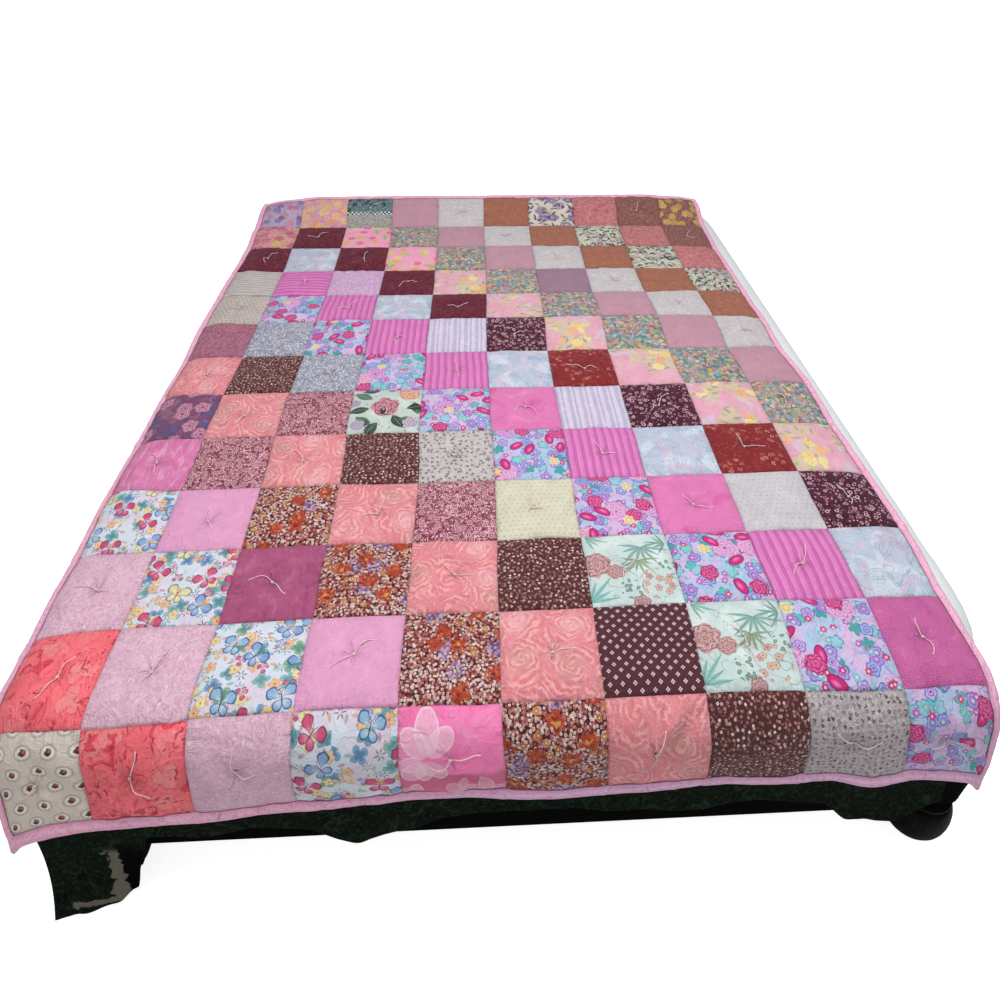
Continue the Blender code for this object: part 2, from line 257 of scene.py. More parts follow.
def drifted(p, q):
    """Cloth coordinates of a place in squares: p across from 0 to 10, q down."""
    p, q = np.broadcast_arrays(np.asarray(p, float), np.asarray(q, float))
    offsets = []
    for which in (1, 2):
        rows = [(r[0], *r[which]) for r in DRIFT]
        at = np.stack([along(rows, q, k + 1) for k in range(len(DRIFT_AT))], axis=-1)
        at[..., 0], at[..., -1] = along(EDGES, q, 2 * which - 1), along(EDGES, q, 2 * which)
        xs = np.array(DRIFT_AT)
        k = np.clip(np.searchsorted(xs, p, side="left") - 1, 0, len(xs) - 2)
        t = np.clip((p - xs[k]) / (xs[k + 1] - xs[k]), 0.0, 1.0)
        t = t * t * (3 - 2 * t)
        low = np.take_along_axis(at, k[..., None], axis=-1)[..., 0]
        high = np.take_along_axis(at, k[..., None] + 1, axis=-1)[..., 0]
        offsets.append((low + (high - low) * t) * 0.001)
    # hand sewn lines are never quite straight
    sway = 0.0013 * ripple(p * 2.3, q * 2.3, 5) + 0.0005 * ripple(p * 6.1, q * 6.1, 6)
    swag = 0.0013 * ripple(p * 2.3, q * 2.3, 7) + 0.0005 * ripple(p * 6.1, q * 6.1, 8)
    u = (p - COLUMNS / 2) * PITCH + offsets[0] + sway
    v = q * PITCH + offsets[1] + swag
    return u, v


def placed(points):
    return points - np.array([ORIGIN_X, ORIGIN_Y, -Z_MATTRESS])


# Folds pressed or pushed into the cloth: from one place to another, in squares,
# how high (mm, troughs negative), how wide (squares) and how much they bow.
FOLDS = [
    # p0   q0    p1    q1    high  wide  bow
    (0.6, 5.02, 9.6, 5.02, 7.0, 0.55, 0.06),
    (1.0, 3.55, 9.7, 3.45, -4.5, 0.70, 0.10),
    (2.2, 0.30, 5.4, 0.16, -3.2, 0.07, 0.04),
    (3.0, 0.52, 6.0, 0.44, -2.6, 0.06, -0.05),
    (6.6, 0.45, 9.6, 0.25, -3.4, 0.07, 0.06),
    (2.6, 0.40, 5.6, 0.31, 2.2, 0.07, 0.03),
    (6.9, 0.33, 9.2, 0.62, 2.4, 0.08, -0.04),
    (6.98, 12.05, 6.35, 12.92, -8.0, 0.060, 0.05),
    (6.80, 12.02, 6.15, 12.90, 9.0, 0.065, 0.05),
    (4.15, 12.62, 4.92, 12.86, -5.5, 0.050, -0.04),
    (4.05, 12.76, 4.70, 12.92, 6.0, 0.050, 0.03),
    (4.35, 12.46, 4.98, 12.60, 5.0, 0.045, 0.02),
    (2.20, 12.60, 2.90, 12.90, -2.6, 0.06, 0.04),
    (2.05, 12.35, 2.60, 12.74, 4.5, 0.06, 0.03),
    (1.10, 12.55, 1.75, 12.95, 5.0, 0.06, 0.05),
    (8.10, 12.40, 8.55, 12.95, -2.2, 0.07, 0.04),
    (9.20, 12.20, 9.75, 12.90, -4.2, 0.07, 0.06),
    (9.45, 12.15, 9.95, 12.75, 6.0, 0.06, 0.05),
    (0.15, 12.10, 0.75, 12.85, 2.6, 0.10, 0.05),
    (0.35, 12.05, 1.00, 12.80, -2.8, 0.09, 0.05),
    (2.0, 8.3, 4.6, 9.6, 1.8, 0.30, 0.20),
    (5.6, 9.4, 8.8, 10.6, -2.0, 0.28, -0.15),
    (1.0, 10.4, 4.0, 11.3, -2.0, 0.26, 0.12),
    (6.2, 6.2, 9.6, 7.4, 1.8, 0.30, 0.15),
]


def folded(p, q):
    total = np.zeros(np.broadcast(p, q).shape)
    for p0, q0, p1, q1, high, wide, bow in FOLDS:
        dx, dy = p1 - p0, q1 - q0
        size = math.hypot(dx, dy)
        t = ((p - p0) * dx + (q - q0) * dy) / size**2
        off = ((p - p0) * dy - (q - q0) * dx) / size
        off = off + bow * np.sin(np.pi * np.clip(t, 0, 1)) + 0.02 * ripple(t * size * 3, q * 0 + high, 3)
        ends = ease(t / 0.25) * ease((1 - t) / 0.25)
        total = total + high * 0.001 * ends * np.exp(-((off / wide) ** 2))
    return total


def tied(row, column):
    return (row + column) % 2 == 0 or (row, column) in ((11, 0), (12, 1), (12, 9))


dice = random.Random(7)
TIES = {
    (r, c): (c + 0.5 + dice.uniform(-0.05, 0.05), r + 0.5 + dice.uniform(-0.05, 0.05))
    for r in range(ROWS)
    for c in range(COLUMNS)
    if tied(r, c)
}
PUFFS = np.array([[dice.uniform(0.0058, 0.0088) for c in range(COLUMNS)] for r in range(ROWS)])


def height(p, q):
    """How far the face of the quilt stands off its underside."""
    p, q = np.broadcast_arrays(np.asarray(p, float), np.asarray(q, float))
    inside_p, inside_q = np.clip(p, 0.0, COLUMNS), np.clip(q, 0.0, ROWS)
    c = np.clip(np.floor(inside_p), 0, COLUMNS - 1).astype(int)
    r = np.clip(np.floor(inside_q), 0, ROWS - 1).astype(int)
    fp, fq = inside_p - c, inside_q - r
    across, down = np.sin(np.pi * fp), np.sin(np.pi * fq)
    full = np.clip(across * down, 0, 1) ** 0.40
    total = SEAM_THICK + PUFFS[r, c] * full
    # the border under the binding
    past = np.maximum(np.maximum(-p, p - COLUMNS), np.maximum(-q, q - ROWS)) * PITCH
    total = total + np.where(past > 0, 0.0014 * np.sin(np.pi * np.clip(past / BORDER, 0, 1)), 0.0)
    # puckers along the seams
    dp, dq = np.minimum(fp, 1 - fp), np.minimum(fq, 1 - fq)
    near_q = np.exp(-((dq / 0.085) ** 2)) * ease(dq / 0.022)
    near_p = np.exp(-((dp / 0.085) ** 2)) * ease(dp / 0.022)
    total = total + 0.0019 * near_q * ripple(p * 9.0, q * 1.6 + 40 * r, 11)
    total = total + 0.0019 * near_p * ripple(p * 1.6 + 40 * c, q * 9.0, 12)
    # batting that has shifted with washing
    total = total + full * (
        0.0018 * ripple(p * 1.9, q * 1.9, 13)
        + 0.0012 * ripple(p * 4.3, q * 4.3, 14)
        + 0.00055 * ripple(p * 9.7, q * 9.7, 15)
    )
    # each tie pulls its square down
    for (row, column), (tp, tq) in TIES.items():
        hit = (np.abs(p - tp) < 0.48) & (np.abs(q - tq) < 0.48)
        if not hit.any():
            continue
        dx, dy = p[hit] - tp, q[hit] - tq
        away = np.hypot(dx, dy)
        turn = np.arctan2(dy, dx)
        pull = -0.0060 * np.exp(-((away / 0.075) ** 2)) - 0.0026 * np.exp(-((away / 0.20) ** 2))
        rays = 0.0011 * np.cos(5 * turn + row * 1.7 + column) + 0.0007 * np.cos(3 * turn + 2.1 * column)
        pull = pull + rays * np.exp(-(((away - 0.09) / 0.085) ** 2))
        total[hit] += pull
    return np.maximum(total, 0.0036)


def surface(p, q, lift=0.0):
    """World points on the face of the quilt, `lift` above it."""
    u, v = drifted(p, q)
    thick = np.maximum(height(p, q) + folded(p, q), 0.0030)
    return placed(drape(u, v) + facing(u, v) * (thick + lift)[..., None])


def underside(p, q, drop=0.0):
    u, v = drifted(p, q)
    # where a fold rises the backing rises with it
    rise = np.maximum(folded(p, q), 0.0) * 0.8
    return placed(drape(u, v) + facing(u, v) * (rise - drop)[..., None])


# ------------------------------------------------------------------ meshes
def piece(name, points, faces, materials, smooth=True):
    mesh = bpy.data.meshes.new(name)
    mesh.from_pydata([tuple(x) for x in points], [], faces)
    thing = bpy.data.objects.new(name, mesh)
    bpy.context.scene.collection.objects.link(thing)
    for material in materials:
        mesh.materials.append(material)
    if smooth:
        mesh.shade_smooth()
    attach(thing, "root")
    return thing


def uv_map(thing, name, values):
    layer = thing.data.uv_layers.new(name=name, do_init=False)
    layer.data.foreach_set("uv", np.asarray(values, np.float32).ravel())
    return layer


FINE = 32           # steps across one square of the face
COARSE = 8          # and of the backing
EDGE = BORDER * 0.93 / PITCH
SIDE_BORDER = 0.66   # on the long sides the border is drawn in and half rolled under


def stations(low, high, first, last, steps, narrow=1.0):
    """Places from one seam line to another, closer together near the seams."""
    places = []
    if first:
        places += [low - EDGE * narrow * (1 - k / 3) for k in range(3)]
    for square in range(low, high):
        for k in range(steps):
            t = k / steps
            places.append(square + t - 0.45 * math.sin(2 * math.pi * t) / (2 * math.pi))
    places.append(float(high))
    if last:
        places += [high + EDGE * narrow * (k + 1) / 3 for k in range(3)]
    return np.array(places)


def corner_numbers(rows, cols):
    """Four vertex numbers for each quad of a grid."""
    i, j = np.meshgrid(np.arange(rows - 1), np.arange(cols - 1), indexing="ij")
    a = i * cols + j
    return np.stack([a, a + cols, a + cols + 1, a + 1], axis=-1).reshape(-1, 4), i.ravel(), j.ravel()


def make_row(r, fabric_of):
    """One row of ten squares: the pieced face, the plain backing and its edges."""
    first, last = r == 0, r == ROWS - 1
    ps = stations(0, COLUMNS, True, True, FINE, SIDE_BORDER)
    qs = stations(r, r + 1, first, last, FINE)
    P, Q = np.meshgrid(ps, qs)
    top = surface(P, Q).reshape(-1, 3)
    # every fourth station of the face, and only the outer one of the border
    ci = [0] + list(range(3, len(ps) - 3, FINE // COARSE)) + [len(ps) - 1]
    q0 = 3 if first else 0
    q1 = len(qs) - (4 if last else 1)
    ri = ([0] if first else []) + list(range(q0, q1 + 1, FINE // COARSE)) + ([len(qs) - 1] if last else [])
    PB, QB = np.meshgrid(ps[ci], qs[ri])
    low = underside(PB, QB).reshape(-1, 3)
    points = np.concatenate([top, low])
    base = len(top)
    n, m = len(ps), len(qs)
    quads, qi, qj = corner_numbers(m, n)
    column = np.clip(np.floor((ps[qj] + ps[qj + 1]) / 2), 0, COLUMNS - 1).astype(int)
    faces = [tuple(f) for f in quads]
    names = sorted({fabric_of[r][c] for c in range(COLUMNS)})
    slot_of = {name: k for k, name in enumerate(names)}
    slots = [slot_of[fabric_of[r][c]] for c in column]
    # the patch's own coordinates: one unit to a square, shifted for each square
    def spot(fi, fj):
        p, q = ps[fj], qs[fi]
        shift = np.array([SHIFT[(r, c)] for c in range(COLUMNS)])[column]
        return np.stack([p - column + shift[:, 0], (r + 1 - q) + shift[:, 1]], axis=-1)

    def cell(fi, fj):
        p, q = ps[fj] - column, qs[fi] - r
        low_p = np.where(column == 0, -0.17, -0.02)
        high_p = np.where(column == COLUMNS - 1, 1.17, 1.02)
        low_q, high_q = (-0.17 if first else -0.02), (1.17 if last else 1.02)
        x = (column % 4 + 0.01 + 0.98 * (p - low_p) / (high_p - low_p)) / 4
        y = (column // 4 + 0.01 + 0.98 * (high_q - q) / (high_q - low_q)) / 3
        return np.stack([x, y], axis=-1)

    order = ((qi, qj), (qi + 1, qj), (qi + 1, qj + 1), (qi, qj + 1))
    patch = [np.stack([spot(*o) for o in order], axis=1).reshape(-1, 2)]
    bake = [np.stack([cell(*o) for o in order], axis=1).reshape(-1, 2)]
    knots = np.array([TIES.get((r, c), (99.0, 99.0)) for c in range(COLUMNS)])[column]
    square = np.stack([np.stack([ps[fj] - column, qs[fi] - r], axis=-1) for fi, fj in order], axis=1).reshape(-1, 2)
    knotted = np.stack([np.stack([ps[fj], qs[fi]], axis=-1) - knots for fi, fj in order], axis=1).reshape(-1, 2)
    # backing
    nb, mb = len(ci), len(ri)
    back, bi, bj = corner_numbers(mb, nb)
    faces += [tuple(int(x) + base for x in f[::-1]) for f in back]
    slots += [len(names)] * len(back)
    pb, qb = ps[ci], qs[ri]

    def under(fi, fj):
        x = (pb[fj] + 0.2) / 10.4
        y = (qb[fi] - r + 0.2) / 1.4
        return np.stack([x, y], axis=-1)

    order = ((bi, bj + 1), (bi + 1, bj + 1), (bi + 1, bj), (bi, bj))
    un = np.stack([under(*o) for o in order], axis=1).reshape(-1, 2)
    patch.append(un * np.array([10.4, 1.4]))
    bake.append(np.array([0.51, 0.68]) + un * np.array([0.48, 0.27]))
    # edges: each length of backing meets several of the face
    def edge(top_ids, low_ids, spans, flip):
        for k in range(len(low_ids) - 1):
            run = top_ids[spans[k] : spans[k + 1] + 1]
            loop = list(run) + [low_ids[k + 1], low_ids[k]]
            faces.append(tuple(int(x) for x in (loop[::-1] if flip else loop)))
            slots.append(len(names))
            flat = np.full((len(loop), 2), 0.0)
            flat[:, 0] = 0.5 + 0.02 * np.cos(np.linspace(0, 6.28, len(loop), endpoint=False))
            flat[:, 1] = 0.5 + 0.02 * np.sin(np.linspace(0, 6.28, len(loop), endpoint=False))
            patch.append(flat)
            bake.append(np.array([0.505, 0.96]) + (flat - 0.48) * 0.3)

    T = np.arange(n * m).reshape(m, n)
    B = base + np.arange(nb * mb).reshape(mb, nb)
    edge(T[0], B[0], ci, False)
    edge(T[-1], B[-1], ci, True)
    edge(T[:, 0], B[:, 0], ri, True)
    edge(T[:, -1], B[:, -1], ri, False)
    thing = piece(f"quilt_row_{r + 1:02d}", points, faces, [FABRIC[x] for x in names] + [FABRIC["backing"]])
    mesh = thing.data
    mesh.polygons.foreach_set("material_index", np.array(slots, np.int32))
    uv_map(thing, "Patch", np.concatenate(patch))
    uv_map(thing, "OFBake", np.concatenate(bake))
    rest_of_it = np.ones((len(mesh.loops) - len(square), 2))
    uv_map(thing, "Square", np.concatenate([square, rest_of_it * 0.5]))
    uv_map(thing, "Knot", np.concatenate([knotted, rest_of_it * 99.0]))
    mesh.uv_layers["Patch"].active = True
    mesh.uv_layers["Patch"].active_render = True
    # seams and edges are creases
    ends = np.zeros(len(mesh.edges) * 2, np.int32)
    mesh.edges.foreach_get("vertices", ends)
    ends = ends.reshape(-1, 2)
    on_seam = np.zeros(len(points), bool)
    seam_cols = [k for k in range(n) if abs(ps[k] - round(ps[k])) < 1e-9 and 0 < ps[k] < COLUMNS]
    on_seam[T[:, seam_cols].ravel()] = True
    rim = np.zeros(len(points), bool)
    rim[T[0]] = rim[T[-1]] = True
    rim[T[:, 0]] = rim[T[:, -1]] = True
    rim[base:] = True
    same_column = np.abs(ends[:, 0] - ends[:, 1]) == n
    sharp = (on_seam[ends].all(axis=1) & same_column) | (rim[ends].all(axis=1))
    mark = mesh.attributes.new("sharp_edge", "BOOLEAN", "EDGE")
    mark.data.foreach_set("value", sharp)
    mesh.update()
    return thing


def perimeter(steps):
    """Places round the outline of the patchwork with the way out of it."""
    out = []
    for square in range(COLUMNS):
        out += [(square + k / steps, 0.0, 0, -1) for k in range(steps)]
    for square in range(ROWS):
        out += [(float(COLUMNS), square + k / steps, 1, 0) for k in range(steps)]
    for square in range(COLUMNS):
        out += [(COLUMNS - square - k / steps, float(ROWS), 0, 1) for k in range(steps)]
    for square in range(ROWS):
        out += [(0.0, ROWS - square - k / steps, -1, 0) for k in range(steps)]
    count = len(out)
    turned = []
    for k, (p, q, x, y) in enumerate(out):
        px, py = out[k - 1][2:]
        if (px, py) != (x, y):
            x, y = px + x, py + y
        turned.append((p, q, x, y))
    return turned


# Where strips of binding were joined on the slant, in squares round the edge.
JOINS = (4.3, 13.4, 19.6, 26.2, 29.55, 31.3, 38.2, 44.7)


def make_binding(material):
    steps = 30
    places = np.array(perimeter(steps))
    count = len(places)
    s = np.arange(count) / steps          # squares round the edge
    p0, q0, ox, oy = places.T
    total = 2.0 * (COLUMNS + ROWS)
    profile = [
        # grow_mm  kind  off_mm: outer skin from the face edge round to the back
        (-3.0, "top", 0.35),
        (-3.1, "top", 1.35),
        (-1.6, "top", 1.75),
        (1.5, "top", 2.2),
        (5.0, "top", 3.0),
        (9.0, "top", 3.5),
        (13.5, "top", 3.7),
        (18.0, "top", 3.3),
        (21.5, "top", 2.4),
        (24.3, "part", 0.86),
        (25.8, "part", 0.55),
        (25.6, "part", 0.20),
        (24.2, "under", 0.9),
        (20.0, "under", 2.1),
        (12.0, "under", 2.3),
        (4.0, "under", 2.1),
        (2.2, "under", 1.7),
        (2.2, "under", 0.5),
        (12.0, "under", 0.7),
        (21.0, "under", 0.5),
        (23.6, "part", 0.3),
        (23.6, "part", 0.7),
        (20.0, "top", 0.9),
        (11.0, "top", 1.6),
        (3.0, "top", 0.6),
    ]
    loops = []
    for grow, kind, off in profile:
        g = np.full(count, grow)
        g = g + 0.7 * ripple(s * 2.6, 0 * s, 31) + 0.35 * ripple(s * 7.3, 0 * s, 32)
        w = g * 0.001 / PITCH
        p, q = p0 + ox * w * SIDE_BORDER, q0 + oy * w
        tall = height(p, q)
        fold = np.maximum(folded(np.clip(p, 0, COLUMNS), np.clip(q, 0, ROWS)), -0.001)
        across = grow * 0.001 / PITCH
        gather = (
            1.0
            + 0.22 * ripple(s * 6.0 + across * 5.0, across * 9.0, 33)
            + 0.16 * ripple(s * 13.0 - across * 8.0, across * 12.0, 34)
        )
        slant = np.zeros(count)
        for join in JOINS:
            slant += np.exp(-(((s - join - across * 0.9) / 0.028) ** 2))
        if kind == "top":
            lift = off * 0.001 * np.where(off > 1.0, gather, 1.0) + (0.0007 * slant if off > 1.2 else 0.0)
            level = tall + fold + lift
        elif kind == "part":
            level = (tall + fold + 0.0022) * off
        else:
            level = -off * 0.001 * (1.0 + 0.1 * ripple(s * 5, across * 9, 35))
        u, v = drifted(p, q)
        loops.append(placed(drape(u, v) + facing(u, v) * level[:, None]))
    points = np.concatenate(loops)
    faces, patch, bake = [], [], []
    k_all = len(profile)
    lengths = [0.0]
    for a, b in zip(profile, profile[1:] + profile[:1]):
        lengths.append(lengths[-1] + max(0.8, abs(a[0] - b[0]) + (1.5 if a[1] != b[1] else 0.0)))
    lanes = 16
    for k in range(k_all):
        following = (k + 1) % k_all
        v0, v1 = lengths[k] / 151.5, lengths[k + 1] / 151.5
        for i in range(count):
            n = (i + 1) % count
            faces.append((k * count + i, following * count + i, following * count + n, k * count + n))
            s0, s1 = s[i], s[i] + 1 / steps
            patch.append(((s0, v0), (s0, v1), (s1, v1), (s1, v0)))
            lane = int(s0 / total * lanes)
            x0 = (s0 / total * lanes - lane) * 0.985 + 0.005
            x1 = (s1 / total * lanes - lane) * 0.985 + 0.005
            y0 = (lane + 0.06 + 0.88 * lengths[k] / lengths[-1]) / lanes
            y1 = (lane + 0.06 + 0.88 * lengths[k + 1] / lengths[-1]) / lanes
            bake.append(((x0, y0), (x0, y1), (x1, y1), (x1, y0)))
    thing = piece("binding_soft", points, faces, [material])
    uv_map(thing, "Patch", np.array(patch).reshape(-1, 2))
    uv_map(thing, "OFBake", np.array(bake).reshape(-1, 2))
    thing.data.uv_layers["Patch"].active = True
    thing.data.uv_layers["Patch"].active_render = True
    return thing


# ------------------------------------------------------------------ ties
def tube(path, radii, sides=7):
    """Points and faces of a round tube with closed ends along a path."""
    path = np.asarray(path, float)
    ahead = np.gradient(path, axis=0)
    ahead /= np.linalg.norm(ahead, axis=1, keepdims=True) + 1e-12
    side = np.cross(ahead[0], (0.0, 0.0, 1.0))
    if np.linalg.norm(side) < 1e-3:
        side = np.array((1.0, 0.0, 0.0))
    rings = []
    for k in range(len(path)):
        side = side - ahead[k] * (side @ ahead[k])
        side = side / (np.linalg.norm(side) + 1e-12)
        other = np.cross(ahead[k], side)
        angles = np.linspace(0, 2 * math.pi, sides, endpoint=False)
        rings.append(path[k] + radii[k] * (np.cos(angles)[:, None] * side + np.sin(angles)[:, None] * other))
    points = np.concatenate(rings + [path[:1], path[-1:]])
    faces = []
    for k in range(len(path) - 1):
        for a in range(sides):
            b = (a + 1) % sides
            faces.append((k * sides + a, k * sides + b, (k + 1) * sides + b, (k + 1) * sides + a))
    low, high = len(path) * sides, len(path) * sides + 1
    for a in range(sides):
        b = (a + 1) % sides
        faces.append((low, b, a))
        faces.append((high, (len(path) - 1) * sides + a, (len(path) - 1) * sides + b))
    return points, faces


def make_ties(material):
    """Yarn tied through the quilt: a small knot and two loose ends at each."""
    dice = random.Random(21)
    points, faces, patch = [], [], []
    start = 0

    def add(path, radii, sides):
        nonlocal start
        pts, fcs = tube(path, radii, sides)
        points.append(pts)
        faces.extend(tuple(x + start for x in f) for f in fcs)
        run = np.concatenate([[0], np.cumsum(np.linalg.norm(np.diff(path, axis=0), axis=1))]) / PITCH
        for k in range(len(path) - 1):
            for a in range(sides):
                patch.append((run[k], a / sides * 0.03))
                patch.append((run[k], (a + 1) / sides * 0.03))
                patch.append((run[k + 1], (a + 1) / sides * 0.03))
                patch.append((run[k + 1], a / sides * 0.03))
        for a in range(sides):
            patch.extend([(0, 0), (0.01, 0), (0.01, 0.01)])
            patch.extend([(0, 0), (0.01, 0), (0.01, 0.01)])
        start += len(pts)

    for (r, c), (tp, tq) in sorted(TIES.items()):
        heading = TAILS.get((r, c), dice.uniform(0, 2 * math.pi))
        yarn = 0.00078
        # the knot: the yarn winds twice round itself
        t = np.linspace(0, 1, 22)
        spin = heading + t * 4.4 * math.pi
        knot_p = tp + 0.0024 / PITCH * np.cos(spin) * (1 - 0.35 * t)
        knot_q = tq + 0.0017 / PITCH * np.sin(spin) * (1 - 0.35 * t)
        ground = surface(knot_p, knot_q)
        out = facing(*drifted(knot_p, knot_q))
        up = 0.0007 + 0.0024 * t
        add(ground + out * up[:, None], np.full(22, yarn), 6)
        for end in (0, 1):
            direction = heading + end * (math.pi + dice.uniform(-0.9, 0.9))
            reach = dice.uniform(0.026, 0.050)
            bend = dice.uniform(-2.6, 2.6)
            late = dice.uniform(-2.2, 2.2)
            count = 26
            p, q = [tp], [tq]
            angle = direction
            for k in range(1, count):
                share = k / (count - 1)
                angle += (bend * (1 - share) + late * share) / count
                p.append(p[-1] + math.cos(angle) * reach / PITCH / count)
                q.append(q[-1] + math.sin(angle) * reach / PITCH / count)
            p, q = np.array(p), np.array(q)
            share = np.linspace(0, 1, count)
            ground = surface(p, q)
            hop = dice.uniform(0.001, 0.0042)
            lift = yarn * 0.8 + 0.0022 * (1 - share) ** 3 + hop * np.sin(np.pi * np.clip(share * 1.15, 0, 1)) ** 2
            path = ground + facing(*drifted(p, q)) * lift[:, None]
            radii = np.full(count, yarn) * (1 + 0.10 * np.sin(share * 40))
            radii[-3:] *= (1.15, 1.25, 0.8)
            add(path, radii, 7)
    thing = piece("ties", np.concatenate(points), faces, [material])
    uv_map(thing, "Patch", np.array(patch))
    return thing


# ------------------------------------------------------------------ bed
def outline(wide, long, radius, per_corner=10, per_metre=40):
    """A rectangle with round corners, as points with the way out and a length."""
    points, ways = [], []
    radius = max(radius, 0.001)
    cx, cy = wide / 2 - radius, long / 2 - radius
    full_x, full_y = int(MATTRESS_WIDE * per_metre), int(MATTRESS_LONG * per_metre)
    for corner in range(4):
        sx = 1 if corner in (0, 3) else -1
        sy = 1 if corner in (0, 1) else -1
        for k in range(per_corner + 1):
            angle = math.radians(90.0 * (corner + k / per_corner))
            ways.append((math.cos(angle), math.sin(angle)))
            points.append((sx * cx + radius * math.cos(angle), sy * cy + radius * math.sin(angle)))
        # along the straight side to the next corner
        nx = 1 if corner in (2, 3) else -1
        ny = 1 if corner in (3, 0) else -1
        if corner in (0, 2):
            count, a, b = full_x, (sx * cx, sy * (cy + radius)), (-sx * cx, sy * (cy + radius))
        else:
            count, a, b = full_y, (sx * (cx + radius), sy * cy), (sx * (cx + radius), -sy * cy)
        way = ways[-1]
        for k in range(1, count):
            t = k / count
            points.append((a[0] + (b[0] - a[0]) * t, a[1] + (b[1] - a[1]) * t))
            ways.append(way)
    return np.array(points), np.array(ways)


def smooth_shoulder(parts):
    """The shoulder's table with points between its rows, on a smooth curve."""
    table = [np.array(row) for row in MATTRESS_SHOULDER]
    table = [2 * table[0] - table[1]] + table + [2 * table[-1] - table[-2]]
    out = []
    for k in range(1, len(table) - 2):
        a, b, c, d = table[k - 1 : k + 3]
        for t in np.arange(parts) / parts:
            out.append(0.5 * (2 * b + (c - a) * t + (2 * a - 5 * b + 4 * c - d) * t**2 + (3 * b - a - 3 * c + d) * t**3))
    out.append(table[-2])
    return [(float(max(x, 0.0)), float(max(y, 0.0))) for x, y in out]


def make_mattress(material):
    """The mattress in its fitted sheet, pulled tight, gathered under the edge."""
    rings = []
    turn = np.radians(np.linspace(0, 90, 7))
    for a in turn:
        rings.append((MATTRESS_LOW_EDGE * (1 - math.sin(a)), MATTRESS_LOW_EDGE * (1 - math.cos(a))))
    for k in range(1, 6):
        low, high = MATTRESS_LOW_EDGE, MATTRESS_DEEP - MATTRESS_SHOULDER[0][1]
        rings.append((0.0, low + (high - low) * k / 6))
    rings += [(inset, MATTRESS_DEEP - below) for inset, below in smooth_shoulder(4)]
    inset = rings[-1][0]
    while inset < 0.74:
        inset = min(inset + 0.022, 0.745)
        rings.append((inset, MATTRESS_DEEP))
    loops, patch_rows = [], []
    travelled = 0.0
    before = None
    for inset, level in rings:
        pts, ways = outline(
            MATTRESS_WIDE - 2 * inset, MATTRESS_LONG - 2 * inset, max(MATTRESS_CORNER - inset * 0.8, 0.006)
        )
        s = np.concatenate([[0], np.cumsum(np.linalg.norm(np.diff(pts, axis=0), axis=1))])
        if before is None:
            s_base = s
        # the sheet's own small waves: gathered low down, drawn to the corners
        gathers = 0.0016 * math.exp(-level / 0.035) * ripple(s_base * 42, level * 8, 41)
        pulls = 0.0022 * ripple(s_base * 5 + level * 9, level * 6, 42) * math.sin(math.pi * min(level / 0.15, 1))
        near_corner = np.exp(-((np.minimum.reduce([np.abs(s_base - c) for c in CORNERS_AT]) / 0.17) ** 2))
        draws = 0.0030 * near_corner * ripple(s_base * 26 + level * 30, level * 5, 43) * ease(level / 0.05)
        ride = -np.abs(gathers + pulls + draws) if inset < 0.1 else 0 * s_base
        top_waves = np.zeros(len(pts))
        if inset >= 0.048:
            x, y = pts[:, 0], pts[:, 1]
            top_waves = -np.abs(
                0.0024 * ripple(x * 3.1 + y * 1.2, y * 5.2, 44)
                + 0.0018 * ripple(x * 9 + y * 4, y * 11 - x * 3, 45)
            ) * float(ease((inset - 0.04) / 0.06))
        world = np.stack(
            [
                pts[:, 0] + ways[:, 0] * ride + MATTRESS_OFF_X - ORIGIN_X,
                pts[:, 1] + ways[:, 1] * ride + MATTRESS_FOOT + MATTRESS_LONG / 2 - ORIGIN_Y,
                np.full(len(pts), level + Z_MATTRESS - MATTRESS_DEEP) + top_waves,
            ],
            axis=-1,
        )
        if before is not None:
            travelled += float(np.median(np.linalg.norm(world - before, axis=1)))
        before = world
        loops.append(world)
        patch_rows.append((s_base / PITCH, travelled / PITCH))
        if before is None:
            s_base = s
    count = len(loops[0])
    points = np.concatenate(loops)
    faces, patch = [], []
    for k in range(len(loops) - 1):
        for i in range(count):
            n = (i + 1) % count
            faces.append((k * count + i, k * count + n, (k + 1) * count + n, (k + 1) * count + i))
            s0 = patch_rows[k][0][i]
            s1 = patch_rows[k][0][n] if n else s0 + 0.05
            v0, v1 = patch_rows[k][1], patch_rows[k + 1][1]
            patch += [(s0, v0), (s1, v0), (s1, v1), (s0, v1)]
    faces.append(tuple(range(count))[::-1])
    patch += [(0.3 * math.cos(6.283 * k / count), 0.3 * math.sin(6.283 * k / count)) for k in range(count)]
    last = (len(loops) - 1) * count
    faces.append(tuple(range(last, last + count)))
    patch += [(0.3 * math.cos(6.283 * k / count), 0.3 * math.sin(6.283 * k / count)) for k in range(count)]
    thing = piece("mattress_soft", points, faces, [material])
    uv_map(thing, "Patch", np.array(patch))
    return thing


_pts, _ways = outline(MATTRESS_WIDE, MATTRESS_LONG, MATTRESS_CORNER)
_s = np.concatenate([[0], np.cumsum(np.linalg.norm(np.diff(_pts, axis=0), axis=1))])
CORNERS_AT = [
    float(_s[k])
    for k in range(1, len(_s) - 1)
    if abs(abs(_ways[k][0]) - math.sqrt(0.5)) < 0.01 and abs(abs(_ways[k][1]) - math.sqrt(0.5)) < 0.01
]


